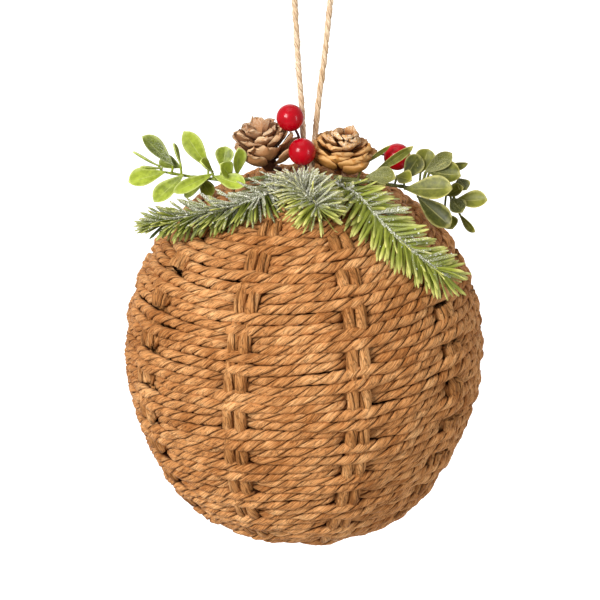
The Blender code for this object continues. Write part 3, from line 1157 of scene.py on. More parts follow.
@dataclass
class WeftRope:
    """The doubled rope that winds up the ball in one spiral, over and under the stakes.

    The widths of dive, shoulders, shade and proud parts are counted in stake crossings. Each
    amount of unsteadiness goes with the wavelength after it.
    """

    ball: Ball
    lay: Lay = Lay(reach=0.00177, breadth=0.00166, lay_length=0.0146, step=0.00145, heart=0.39,
                   unevenness=0.20)
    fineness: int = 40
    dive: float = 0.82
    dive_width: float = 0.135
    shoulder: float = 0.18
    shoulder_width: float = 0.36
    shade_width: float = 0.19
    deep_shade: float = 0.85
    gap_shade: float = 1.0
    gap_slope: float = 1.9
    inset: float = 0.0004
    proud_width: float = 0.22
    proud_rise: float = 0.0006
    proud_parting: float = 0.26
    proud_swelling: float = 0.15
    dive_closing: float = 0.06
    plumpness: float = 1.045
    bob: tuple[float, float] = (0.00034, 0.022)
    stray: tuple[float, float] = (0.00009, 0.030)
    fine_stray: tuple[float, float] = (0.00008, 0.012)
    fatness: tuple[float, float] = (0.03, 0.03)

    def middle_line(self, across: float,
                    dice: np.random.Generator) -> tuple[Array, Array, Array, Array]:
        """Work out one of the two ropes' middle lines.

        Between stakes the rope lies outside. It dives under a stake at every odd crossing
        within the plain turns: out = swing x (1 - 2 dive), where dive is mostly a narrow bell
        over the crossings from it, with a low wide one as its shoulders. Where it rides over a
        stake it stands a little proud, swells, and leaves its twin.

        Args:
            across: Where it lies in the band, as a share of the pitch from its middle.
            dice: Where its unsteadiness comes from.

        Returns:
            Its points in even steps, the outward directions, its thickness, and how much it
            lies in the shade of the stake it dives under, 0 to 1.
        """
        ball = self.ball
        crossings = ball.stakes * ball.turns
        crossing = np.linspace(0.0, crossings, self.fineness * crossings + 1)
        arc = ball.row_arc(crossing)
        azimuth = ball.azimuth(crossing)
        run = distances(ball.at(arc, azimuth, np.zeros_like(arc)))
        nearest = 2.0 * np.floor(crossing / 2.0) + 1.0
        first = ball.stakes * ball.plain_turns
        last = ball.stakes * (ball.turns - ball.plain_turns)
        woven = (nearest >= first) & (nearest < last)
        far = crossing - nearest
        dive = (self.dive * bell(far, self.dive_width)
                + self.shoulder * bell(far, self.shoulder_width))
        dive = np.where(woven, dive, 0.0)
        proud = np.where(woven, bell(1.0 - np.abs(far), self.proud_width), 0.0)
        # Painted shade where the rope dives beside a stake
        sunk = np.where(woven, bell(far, self.shade_width), 0.0)
        out = ball.swing * (1.0 - 2.0 * dive) - self.inset + self.proud_rise * proud
        out = out + self.bob[0] * wander(run, self.bob[1], dice)
        parting = 1.0 - self.dive_closing * dive + self.proud_parting * proud
        spread = across * ball.pitch * parting
        for amount, wave in (self.stray, self.fine_stray):
            spread += amount * wander(run, wave, dice)
        line = ball.at(arc + spread, azimuth, out)
        along, even = self.lay.stations(line)
        points = read_line(line, along, even)
        arcs, turns = np.interp(even, along, arc), np.interp(even, along, azimuth)
        size = self.plumpness + self.proud_swelling * np.interp(even, along, proud)
        size = size + self.fatness[0] * wander(even, self.fatness[1], dice)
        return points, ball.normal(arcs, turns), size, np.interp(even, along, sunk)

    def build(self, material: bpy.types.Material) -> list[bpy.types.Object]:
        """Make the ropes, one piece for each ply.

        A point gets more painted shade the lower it lies beside its neighbours: gap = 1 - gap slope
        x its height over the middle line / reach.

        Args:
            material: The rope's finish.

        Returns:
            The four pieces.
        """
        made = []
        for rope, across, seed in (("lower", -0.25, 11), ("upper", 0.25, 12)):
            dice = np.random.default_rng(seed)
            line, outward, size, sunk = self.middle_line(across, dice)
            rings, marks = self.lay.plies(line, outward, dice, size)
            # Painted shade: in the gaps between neighbouring ropes, and where the rope dives beside
            # a stake
            height = ((rings - line[None, :, None]) * outward[None, :, None]).sum(axis=-1)
            gap = np.clip(1.0 - self.gap_slope * height / self.lay.reach, 0.0, 1.0)
            gap = self.gap_shade * gap
            dark = np.maximum(gap, self.deep_shade * sunk[None, :, None])
            marks["shade"] = np.maximum(marks["shade"], dark)
            for ply in (0, 1):
                patch = Patchwork(*ROPE_MARKS)
                patch.add(rings[ply:ply + 1],
                          **{name: mark[ply:ply + 1] for name, mark in marks.items()})
                made.append(patch.piece(f"weft_{rope}_ply_{ply + 1}", material,
                                        ("weft_rope",)))
        return made


@dataclass
class StakeRope:
    """One upright doubled rope: it shows wherever the weft dives under it."""

    ball: Ball
    index: int
    lay: Lay = Lay(reach=0.00208, breadth=0.00196, lay_length=0.052, step=0.0010, heart=0.30,
                   unevenness=0.4, lumps=0.05)
    fineness: int = 40
    spread: float = 0.00216
    full_width_from: float = 0.036
    slack: float = 0.0001
    bluntness: float = 0.9
    stray: tuple[float, float] = (0.00012, 0.02)
    first_seed: int = 100

    def build(self, material: bpy.types.Material) -> bpy.types.Object:
        """Make the stake.

        Its middle line swings in and out by swing x cos(pi x turns from where it is under
        first), that cosine's size to the power of the bluntness, on the meridian of its stake.
        Its two ropes lie side by side.

        Args:
            material: The rope's finish.

        Returns:
            The piece.
        """
        ball = self.ball
        dice = np.random.default_rng(self.first_seed + self.index)
        turns = np.arange(ball.plain_turns, ball.turns - ball.plain_turns)
        under = (ball.stakes * turns + self.index) % 2 == 0
        first, last = turns[under][0], turns[under][-1]
        turn = np.linspace(first, last, self.fineness * (last - first) + 1)
        arc = ball.row_arc(ball.stakes * turn + self.index)
        azimuth = np.full_like(arc, float(ball.azimuth(np.array(self.index))))
        wave = np.cos(math.pi * (turn - first))
        swing = -(ball.swing - self.slack) * np.sign(wave) * np.abs(wave) ** self.bluntness
        sideways = np.array([-math.sin(azimuth[0]), math.cos(azimuth[0]), 0.0])
        share = np.minimum(1.0, ball.read("rho", arc) / self.full_width_from)
        middle = ball.at(arc, azimuth, swing)
        run = distances(middle)
        patch = Patchwork(*ROPE_MARKS)
        for half in (-1.0, 1.0):
            aside = half * self.spread * share + self.stray[0] * wander(run, self.stray[1], dice)
            line = middle + sideways * aside[:, None]
            along, even = self.lay.stations(line)
            points = read_line(line, along, even)
            outward = ball.normal(np.interp(even, along, arc), np.interp(even, along, azimuth))
            size = np.interp(even, along, share)
            rings, marks = self.lay.plies(points, outward, dice, size)
            patch.add(rings, **marks)
        return patch.piece(f"stake_rope_{self.index + 1}", material,
                           (f"stake_{self.index + 1}",))


@dataclass
class HangerTwine:
    """The hanging loop of thin two-ply twine.

    Its legs' knots are given as shares of the half width, with their rises over the crown as
    shares of the loop's rise, or their drops under the apex as shares of the half width.
    """

    ball: Ball
    diameter: float = 0.002
    half_width: float = 0.0073
    sunk: float = 0.0032
    first_rise: float = 0.033
    rises: tuple[tuple[float, float], ...] = ((0.26, 0.133), (0.44, 0.311), (0.62, 0.456),
                                              (0.88, 0.733))
    drops: tuple[tuple[float, float], ...] = ((1.0, 1.575), (0.80, 0.63), (0.42, 0.123))
    spacing: float = 0.006
    fineness: int = 500
    seed: int = 5
    fibres: int = 260
    shortest_fibre: float = 0.0010
    longest_fibre: float = 0.0026
    fibre_radius: float = 0.00007
    fibre_bend: float = 0.55
    lay: Lay = Lay(reach=0.00102, breadth=0.00086, lay_length=0.0092, step=0.0005, lumps=0.07,
                   sides=10)

    def route(self) -> Array:
        """Work out the twine's middle line: two legs that widen to a round top.

        Returns:
            Its points, as in the part's source, from one end in the crown's eye to the other.
        """
        ball, half = self.ball, self.half_width
        leg_x = self.diameter / 2 + ball.fit_gap / 2
        apex = self.diameter / 2
        leg = [(leg_x, ball.crown_z - self.sunk),
               (leg_x, ball.crown_z + self.first_rise * ball.loop_rise)]
        leg += [(share * half, ball.crown_z + rise * ball.loop_rise)
                for share, rise in self.rises]
        leg += [(share * half, apex - drop * half) for share, drop in self.drops]
        left = [(-x, 0.0, z) for x, z in leg]
        right = [(x, 0.0, z) for x, z in reversed(leg)]
        knots = np.array([*left, (0.0, 0.0, apex), *right])
        return smooth_path(knots, round(distances(knots)[-1] / self.spacing) + 1)

    def build(self, material: bpy.types.Material) -> bpy.types.Object:
        """Args:
            material: The twine's finish.

        Returns:
            The piece.
        """
        dice = np.random.default_rng(self.seed)
        route = self.route()
        length = distances(route)[-1]
        count = round(length / self.lay.step) + 1
        line = even_points(smooth_path(route, self.fineness), count)
        outward = np.broadcast_to(np.array([0.0, -1.0, 0.0]), line.shape)
        rings, marks = self.lay.plies(line, outward, dice)
        patch = Patchwork(*ROPE_MARKS)
        patch.add(rings, **marks)
        made = patch.piece("hanging_loop", material, ("hanger_twine",))
        self._fuzz(rings, material, dice)
        return made

    def _fuzz(self, rings: Array, material: bpy.types.Material, dice: np.random.Generator) -> None:
        """Let fine stray fibres stand off the twine.

        A fibre starts on a ply's outer side and leaves it slowly: its point at share s is root
        + length x (ahead x s + bend x away x s squared).

        Args:
            rings: The plies' points.
            material: The twine's finish.
            dice: Where the draws come from.
        """
        count, ring = self.fibres, dice.integers(40, rings.shape[1] - 40, self.fibres)
        ply, corner = dice.integers(0, 2, count), dice.integers(-2, 2, count)
        root = rings[ply, ring, corner]
        ahead = unit(rings[ply, ring + 3, corner] - rings[ply, ring - 3, corner])
        ahead = ahead * dice.choice([-1.0, 1.0], (count, 1))
        away = unit(root - rings[ply, ring].mean(axis=1)) + dice.normal(0.0, 0.4, (count, 3))
        share = np.linspace(0.0, 1.0, 5)[None, :, None]
        length = dice.uniform(self.shortest_fibre, self.longest_fibre, count)[:, None, None]
        line = root[:, None] + length * (ahead[:, None] * share
                                         + self.fibre_bend * away[:, None] * share ** 2)
        first = unit(np.cross(ahead, away))
        around = spokes(first, np.cross(ahead, first), 3)
        thin = (self.fibre_radius * (1.0 - 0.7 * share))[..., None]
        patch = Patchwork(*ROPE_MARKS)
        patch.add(line[:, :, None] + thin * around[:, None], tone=0.8)
        patch.piece("loop_fuzz", material)


# The pick


@dataclass
class Pinecone:
    """A small open cone: broad scales in a spiral on a slim core, on a short stalk.

    The lowest and highest scales stand open_low and open_high degrees up from the level.
    """

    name: str
    base: Array
    centre: Array
    lean: Triple
    seed: int
    scales: int
    core_height: float
    longest: float
    shortest: float
    widest: float
    narrowest: float
    open_low: float
    open_high: float
    curl: float
    ragged: float
    shrink: float = 1.0
    thickness: float = 0.00085
    core_radius: float = 0.0028
    core_tip: float = 0.0008
    centre_up: float = 0.62
    stalk_radius: float = 0.0009
    neck: float = 0.0012
    disorder: float = 0.12
    slope_disorder: float = 5.0
    rings: int = 14
    sides: int = 18
    stalk_points: int = 16

    def build(self, material: bpy.types.Material, slot: str) -> bpy.types.Object:
        """Make the cone.

        Scale number i sits i golden angles round the core, and share i/n up it. The lower
        ones open wide and curl up into a bowl, the upper ones stand up and splay a little. They
        shrink with the share times shrink, up to the smallest.

        Args:
            material: The scales' finish.
            slot: Not used.

        Returns:
            The piece.
        """
        dice = np.random.default_rng(self.seed)
        count = self.scales
        axis = unit(np.array(self.lean))
        first = unit(np.cross(axis, np.array([0.0, 1.0, 0.0])))
        second = np.cross(axis, first)
        low = self.centre - axis * self.core_height * self.centre_up
        share = (np.arange(count) + 0.5) / count
        around = np.arange(count) * GOLDEN_ANGLE + dice.normal(0.0, self.disorder, count)
        outward = np.cos(around)[:, None] * first + np.sin(around)[:, None] * second
        slope = self.open_low + (self.open_high - self.open_low) * share ** 1.15
        slope = np.radians(slope + dice.normal(0.0, self.slope_disorder, count))
        ahead = np.cos(slope)[:, None] * outward + np.sin(slope)[:, None] * axis
        core = self.core_radius * np.sqrt(np.clip(1.0 - share ** 2, 0.12, 1.0)) * 0.8
        root = low + axis * (share * self.core_height)[:, None] + outward * core[:, None]
        side = np.cross(axis, outward) + axis * dice.normal(0.0, self.disorder, (count, 1))
        less = np.clip(share * self.shrink, 0.0, 1.0) ** 1.2
        length = self.longest - (self.longest - self.shortest) * less
        length = length * dice.uniform(0.9, 1.08, count)
        half = 0.5 * (self.widest - (self.widest - self.narrowest) * less)
        half = half * dice.uniform(0.86, 1.08, count)
        curl = -self.curl * (1.0 - 1.12 * share) * dice.uniform(0.7, 1.25, count)
        blades = Blades(root, ahead, side, length, half, np.full(count, self.thickness / 2), curl,
                        dice.uniform(-0.42, -0.15, count), fan, thick_lip, self.rings,
                        self.sides)
        rings, marks = blades.surface()
        worn = marks["along"][..., None] ** 3
        rings = rings + worn * self.ragged * self._chips(rings.shape, dice)
        patch = Patchwork("grain", "along", "across", "tone", "height")
        tone = np.broadcast_to(dice.uniform(-1.0, 1.0, count)[:, None, None],
                               marks["along"].shape)
        patch.add(rings, tone=tone, height=np.broadcast_to(share[:, None, None], tone.shape),
                  **marks)
        line = smooth_path(np.stack([self.base, low - axis * self.neck, low,
                                     low + axis * self.core_height]), self.stalk_points)
        thick = np.interp(np.linspace(0, 1, self.stalk_points), [0.0, 0.25, 0.4, 0.7, 1.0],
                          [self.stalk_radius, self.stalk_radius, self.core_radius,
                           self.core_radius, self.core_tip])
        patch.add(tube_along(line, thick, 10, (0.0, 1.0, 0.0)), tone=-0.5)
        return patch.piece(f"{self.name}_scales", material, (self.name,))

    @staticmethod
    def _chips(shape: tuple[int, ...], dice: np.random.Generator) -> Array:
        """Work out uneven moves of the scales' points, alike on a scale's two faces.

        Args:
            shape: The shape of the scales' points.
            dice: Where the draws come from.

        Returns:
            The moves: draws, each averaged over its neighbours along and round the scale.
        """
        rough = dice.normal(0.0, 1.0, shape)
        for axis in (1, 2):
            rough = (rough + np.roll(rough, 1, axis) + np.roll(rough, -1, axis)) * 0.55
        return (rough + rough[:, :, ::-1]) / 2


@dataclass
class Berry:
    """A shiny berry on a paper-wrapped wire."""

    ball: Ball
    name: str
    centre: Array
    route: list[Array]
    radius: float = 0.0048
    wire_radius: float = 0.00045
    dimple: float = 0.10
    dimple_width: float = 0.22
    rings: int = 26
    sides: int = 36

    def build(self, skin: bpy.types.Material, wrap: bpy.types.Material) -> None:
        """Make the berry and its wire.

        The berry is a sphere as rings from pole to pole: a ring's radius is reach x sin(polar),
        where reach dips in a bell round the pole at which the wire enters.

        Args:
            skin: The berry's finish.
            wrap: The wire's finish.
        """
        down = unit(self.route[-1] - self.centre)
        aside = unit(np.cross(down, np.array([0.0, 1.0, 0.0])))
        other = np.cross(down, aside)
        polar = np.linspace(0.04, math.pi - 0.02, self.rings)
        around = round_angles(self.sides)
        reach = self.radius * (1.0 - self.dimple * bell(polar, self.dimple_width))
        flat = (reach * np.sin(polar))[:, None]
        rings = (self.centre + down * (reach * np.cos(polar))[:, None, None]
                 + (aside * (flat * np.cos(around))[..., None])
                 + (other * (flat * np.sin(around))[..., None]))[None]
        patch = Patchwork()
        patch.add(rings)
        patch.piece(f"{self.name}_skin", skin, (self.name,))
        end = self.centre + down * (self.radius + self.ball.fit_gap)
        line = smooth_path(np.stack([*self.route, end]), 24)
        wire = Patchwork()
        wire.add(tube_along(line, self.wire_radius, 8, (0.0, 1.0, 0.0)))
        wire.piece(self.name.replace("berry", "wrapped_wire"), wrap,
                   (self.name.replace("berry", "berry_wire"),))


@dataclass(frozen=True)
class Leaf:
    """One leaf of a boxwood sprig, in mm from the crown: x right, y back, z up."""

    root: Triple
    tip: Triple
    width: float
    tone: float
    frost: float = 0.1
    roll: float = 0.0
    bend: float = 0.3


@dataclass
class BoxwoodSprig:
    """A leafy sprig: a thin stem with spoon-shaped leaves."""

    ball: Ball
    name: str
    stem: list[Array]
    leaves: list[Leaf]
    slot: str
    seed: int
    broad: float = 1.03
    arched: float = 1.03
    thickness: float = 0.00068
    least_cup: float = 0.32
    most_cup: float = 0.70
    clearance: float = 0.0006
    facing: Triple = (0.0, -0.75, 0.66)
    stem_radius: float = 0.0008
    stem_points: int = 40
    stalk_radius: float = 0.00042
    stalk_depth: float = 0.0006
    stalk_sag: float = 0.25

    def every(self, name: str) -> Array:
        """One of the leaves' fields, for all of them."""
        return np.array([getattr(leaf, name) for leaf in self.leaves])

    def build(self, material: bpy.types.Material) -> bpy.types.Object:
        """Make the sprig.

        Each leaf goes from its root to its tip, its face turned up and towards the front, and
        by its own roll.

        Args:
            material: The leaves' finish.

        Returns:
            The piece.
        """
        dice = np.random.default_rng(self.seed)
        crown = np.array([0.0, 0.0, self.ball.crown_z])
        root = self.every("root") * MM + crown
        tip = self.every("tip") * MM + crown
        ahead = unit(tip - root)
        roll = np.radians(self.every("roll"))[:, None]
        flat = unit(np.cross(ahead, unit(np.array(self.facing))))
        side = flat * np.cos(roll) + np.cross(ahead, flat) * np.sin(roll)
        length = np.linalg.norm(tip - root, axis=1) * self.arched
        half = self.every("width") * MM / 2 * self.broad
        blades = Blades(root, ahead, side, length, half, np.full(len(half), self.thickness / 2),
                        self.every("bend"), dice.uniform(self.least_cup, self.most_cup, len(half)),
                        spoon, level, rings=20, sides=16)
        rings, marks = blades.surface()
        rings = self.ball.keep_off(rings, self.clearance)
        patch = Patchwork(*LEAF_MARKS)
        tone = np.broadcast_to(self.every("tone")[:, None, None], marks["along"].shape)
        frost = self.every("frost")[:, None, None] * (1.25 - 0.75 * marks["along"])
        patch.add(rings, tone=tone, frost=frost, **marks)
        line = smooth_path(np.stack(self.stem), self.stem_points)
        share = np.linspace(0.0, 1.0, self.stem_points)
        radii = self.stem_radius * (1.0 - 0.4 * share) * (1.0 + 0.15 * wander(share, 0.1, dice))
        stem = tube_along(line, radii, 8, (0.0, 0.0, 1.0))
        patch.add(stem, tone=-0.1, frost=0.75 * (1.0 - share)[None, :, None],
                  grain=stem / MM, along=0.5, across=0.5)
        stalks = self._stalks(line, root, ahead)
        patch.add(stalks, tone=0.1, frost=0.15, grain=stalks / MM, along=0.5, across=0.5)
        return patch.piece(f"{self.name}_leaves", material, (self.name,))

    def _stalks(self, line: Array, root: Array, ahead: Array) -> Array:
        """Work out thin stalks from the stem to the leaves.

        With s from the stem to the leaf, a stalk's point is the stem's nearest point, moved to
        the leaf's root by s, plus the leaf's direction x sag x the way x (s squared - s).

        Args:
            line: The stem's points.
            root: The leaves' roots.
            ahead: The leaves' directions.

        Returns:
            The stalks' points by stalk, ring, side and axis.
        """
        gaps = np.linalg.norm(line[None] - root[:, None], axis=-1)
        start = line[gaps.argmin(axis=1)]
        step = root + self.stalk_depth * ahead - start
        far = np.linalg.norm(step, axis=-1, keepdims=True)
        s = np.linspace(0.0, 1.0, 7)[None, :, None]
        sag = (ahead * far)[:, None] * self.stalk_sag * (s * s - s)
        path = start[:, None] + step[:, None] * s + sag
        first = unit(np.cross(step, np.array([0.13, 0.21, 1.0])))
        around = spokes(first, unit(np.cross(first, step)), 6)
        return path[:, :, None] + self.stalk_radius * around[:, None]


@dataclass
class FirSprig:
    """A fir sprig: a stem with many flat needles, frosted on top."""

    ball: Ball
    name: str
    stem: list[Array]
    needles: int
    seed: int
    sweep_root: float
    sweep_tip: float
    needle_length: float
    needle_width: float
    low_top: float
    frosted: float
    frost_fade: float
    tone: float
    flatness: float = 0.3
    shorter_at_tip: float = 0.35
    droop: float = 0.0
    plane: Triple = (0.0, 0.0, 1.0)
    needle_thickness: float = 0.00044
    clearance: float = 0.0004
    stem_radius: float = 0.0008
    stem_points: int = 160
    needle_crumbs: int = 260
    stem_crumbs: int = 90
    least_crumb: float = 0.00014
    most_crumb: float = 0.00038
    crumb_sides: int = 5

    def build(self, material: bpy.types.Material, crumbs: bpy.types.Material) -> None:
        """Make the sprig and its frost crumbs.

        Needle i stands at share i/n of the stem, i golden angles round it, drawn towards the
        two sides by flatness. It leans to the stem's tip by the sweep, in degrees, and hangs by
        droop. Needles that stand up near the stem's root are shorter, by low_top.

        Args:
            material: The needles' finish.
            crumbs: The frost's finish.
        """
        dice = np.random.default_rng(self.seed)
        count = self.needles
        share = (np.arange(count) + dice.uniform(0, 1, count)) / count
        share = 0.03 + 0.965 * share
        line = smooth_path(np.stack(self.stem), self.stem_points)
        at = share * (self.stem_points - 1)
        step = np.arange(self.stem_points)
        root = read_line(line, step, at)
        ahead = unit(read_line(unit(np.gradient(line, axis=0)), step, at))
        aside = unit(np.cross(ahead, np.array(self.plane)))
        up = np.cross(aside, ahead)
        roll = np.arange(count) * GOLDEN_ANGLE + dice.normal(0.0, 0.15, count)
        roll = roll - self.flatness * np.sin(2.0 * roll)
        outward = aside * np.cos(roll)[:, None] + up * np.sin(roll)[:, None]
        sweep = np.radians(self.sweep_tip + (self.sweep_root - self.sweep_tip)
                           * (1.0 - share) ** 0.8 + dice.normal(0.0, 6.0, count))
        sweep = sweep * np.clip((1.0 - share) * 12.0, 0.35, 1.0)
        direction = ahead * np.cos(sweep)[:, None] + outward * np.sin(sweep)[:, None]
        direction = direction + np.array([0.0, 0.0, -self.droop]) * (1.0 - share)[:, None]
        direction = unit(direction + dice.normal(0.0, 0.05, direction.shape))
        side = np.cross(np.cross(ahead, outward), direction)
        length = self.needle_length * (1.0 - self.shorter_at_tip * share ** 1.5)
        length = length * dice.uniform(0.82, 1.08, count) * np.clip(0.6 + share * 3.0, 0.0, 1.0)
        rise = np.clip(direction[:, 2], 0.0, 1.0) * np.clip(1.0 - 1.6 * share, 0.0, 1.0)
        length = length * np.clip(1.0 - self.low_top * rise, 0.3, 1.0)
        half = self.needle_width / 2 * dice.uniform(0.85, 1.15, count)
        blades = Blades(root + outward * (self.stem_radius * 0.5), direction, side, length, half,
                        np.full(count, self.needle_thickness / 2),
                        dice.normal(0.0, 0.20, count), np.full(count, 0.0), needle_outline,
                        level, rings=7, sides=6)
        rings, marks = blades.surface()
        rings = self.ball.keep_off(rings, self.clearance)
        upward = 0.5 + 0.5 * direction[:, 2]
        settle = self.frosted * (0.15 + 1.3 * upward) * (1.0 - self.frost_fade * share)
        settle = settle + dice.normal(0.0, 0.14, count)
        frost = settle[:, None, None] * (1.15 - 0.35 * marks["along"])
        tone = (self.tone + dice.normal(0, 0.3, count))[:, None, None]
        patch = Patchwork(*LEAF_MARKS)
        patch.add(rings, tone=np.broadcast_to(tone, frost.shape), frost=frost, **marks)
        radii = self.stem_radius * (1.0 - 0.35 * np.linspace(0, 1, self.stem_points))
        radii = radii * (1.0 + 0.16 * wander(distances(line), 0.004, dice))
        stem = tube_along(line, radii, 8, (0.0, 0.0, 1.0))
        patch.add(stem, tone=-0.2, frost=min(1.0, self.frosted * 1.3), grain=stem / MM,
                  along=0.2, across=0.2)
        patch.piece(f"{self.name}_needles", material, (self.name,))
        self._crumbs(rings, settle, line, dice, crumbs)

    def _crumbs(self, rings: Array, settle: Array, line: Array, dice: np.random.Generator,
                material: bpy.types.Material) -> None:
        """Sprinkle small crumbs of frost on the upper needles and the stem.

        Each is a short lumpy tube of three rings. Where one lands is drawn by how much frost
        its needle holds.

        Args:
            rings: The needles' points.
            settle: How much frost each needle holds.
            line: The stem's line.
            dice: Where the draws come from.
            material: The frost's finish.
        """
        chance = np.clip(settle, 0.0, None) ** 2
        chosen = dice.choice(len(settle), size=self.needle_crumbs, p=chance / chance.sum())
        ring = dice.integers(1, rings.shape[1] - 1, self.needle_crumbs)
        corner = dice.integers(0, rings.shape[2], self.needle_crumbs)
        on_stem = line[dice.integers(4, self.stem_points - 10, self.stem_crumbs)]
        on_stem = on_stem + np.array([0.0, 0.0, self.stem_radius * 0.8])
        spots = np.concatenate([rings[chosen, ring, corner], on_stem])
        size = dice.uniform(self.least_crumb, self.most_crumb, len(spots))[:, None, None]
        t = round_angles(self.crumb_sides)
        rows = []
        for height, breadth in ((-0.8, 0.55), (0.0, 1.0), (0.8, 0.5)):
            circle = np.stack([np.cos(t) * breadth, np.sin(t) * breadth,
                               np.full(self.crumb_sides, height)], axis=-1)
            lumps = dice.normal(0, 0.22, (len(spots), self.crumb_sides, 3))
            rows.append(spots[:, None] + size * (circle + lumps))
        patch = Patchwork()
        patch.add(np.stack(rows, axis=1))
        patch.piece(f"{self.name}_frost", material)


# The studio


@dataclass
class Studio:
    """A plain pale sweep, soft lights and the camera.

    Each lamp has a name, a place seen from the ball's centre, a width and height, and a power
    in watts. The shifts are in pixels of the view.
    """

    ball: Ball
    elevation: float = math.radians(20.0)
    roll: float = math.radians(1.44)
    distance: float = 1.2
    shift_right: float = -3.5
    shift_up: float = 54.0
    aim_height: float = -0.1583
    sensor: float = 36.0
    floor: float = -1.15
    wall: float = 3.6
    front: float = -9.0
    bend_from: float = 1.2
    bend: float = 1.0
    bend_steps: int = 24
    reach: float = 6.0
    columns: int = 13
    lamps: tuple[tuple[str, Triple, tuple[float, float], float], ...] = (
        ("key", (-0.95, -1.15, 0.85), (0.7, 0.7), 34.0),
        ("side", (1.3, -0.9, 0.3), (0.25, 0.9), 6.0),
        ("top", (-0.2, 0.0, 1.5), (1.0, 1.0), 3.5))
    daylight: float = 0.48

    def camera(self) -> bpy.types.Object:
        """Make the camera, looking down at the ball, turned a little about its own axis.

        Returns:
            The camera.
        """
        data = bpy.data.cameras.new("camera")
        data.sensor_width = self.sensor
        data.lens = self.sensor * self.distance * VIEW_SCALE / VIEW_SIDE
        right = Vector((1.0, 0.0, 0.0))
        up = Vector((0.0, math.sin(self.elevation), math.cos(self.elevation)))
        back = Vector((0.0, -math.cos(self.elevation), math.sin(self.elevation)))
        turned_right = right * math.cos(self.roll) + up * math.sin(self.roll)
        turned_up = up * math.cos(self.roll) - right * math.sin(self.roll)
        shift = turned_right * self.shift_right + turned_up * self.shift_up
        target = Vector((0.0, 0.0, self.aim_height)) + shift / VIEW_SCALE
        made = put_out("camera", data)
        made.matrix_world = Matrix.Translation(target + back * self.distance) @ Matrix(
            (turned_right, turned_up, back)).transposed().to_4x4()
        bpy.context.scene.camera = made
        return made

    def sweep(self, material: bpy.types.Material) -> bpy.types.Object:
        """Make the floor and backdrop as one sheet: flat, then a quarter round, then upright.

        Args:
            material: The sheet's finish.

        Returns:
            The sheet.
        """
        turn = np.linspace(0.0, math.pi / 2, self.bend_steps)
        back = np.concatenate([[self.front], self.bend_from + self.bend * np.sin(turn),
                               [self.bend_from + self.bend]])
        rise = self.floor + np.concatenate([[0.0], self.bend * (1.0 - np.cos(turn)),
                                            [self.wall]])
        across = np.linspace(-self.reach, self.reach, self.columns)
        grid = np.stack(np.meshgrid(across, np.arange(len(back)), indexing="ij"), axis=-1)
        rows = grid[..., 1].astype(int)
        points = np.stack([grid[..., 0], back[rows], rise[rows]], axis=-1)
        width = len(back)
        corner = (np.arange(len(across) - 1)[:, None] * width + np.arange(width - 1)).ravel()
        faces = np.stack([corner, corner + width, corner + width + 1, corner + 1], axis=-1)
        mesh = bpy.data.meshes.new("sweep")
        mesh.from_pydata(points.reshape(-1, 3).tolist(), [], faces.tolist())
        mesh.shade_smooth()
        mesh.materials.append(material)
        made = put_out("sweep", mesh)
        return made

    def light(self, name: str, place: Triple, size: tuple[float, float],
              power: float) -> bpy.types.Object:
        """Hang a soft box that faces the ball.

        Args:
            name: The light's name.
            place: Where it hangs, from the ball's centre.
            size: Its width and height.
            power: Its power in watts.

        Returns:
            The light.
        """
        data = bpy.data.lights.new(name, "AREA")
        data.shape = "RECTANGLE"
        data.size, data.size_y = size
        data.energy = power
        made = put_out(name, data)
        made.location = Vector(self.ball.centre) + Vector(place)
        made.rotation_euler = (-Vector(place)).to_track_quat("-Z", "Y").to_euler()
        return made

    def build(self, material: bpy.types.Material) -> None:
        """Lay the sheet, hang the lights and set the daylight all round.

        Args:
            material: The sheet's finish.
        """
        self.sweep(material)
        for lamp in self.lamps:
            self.light(*lamp)
        world = bpy.data.worlds.new("daylight")
        world.use_nodes = True
        background = world.node_tree.nodes["Background"]
        background.inputs["Color"].default_value = (1.0, 1.0, 1.0, 1.0)
        background.inputs["Strength"].default_value = self.daylight
        bpy.context.scene.world = world
        bpy.context.scene.view_settings.view_transform = "Standard"


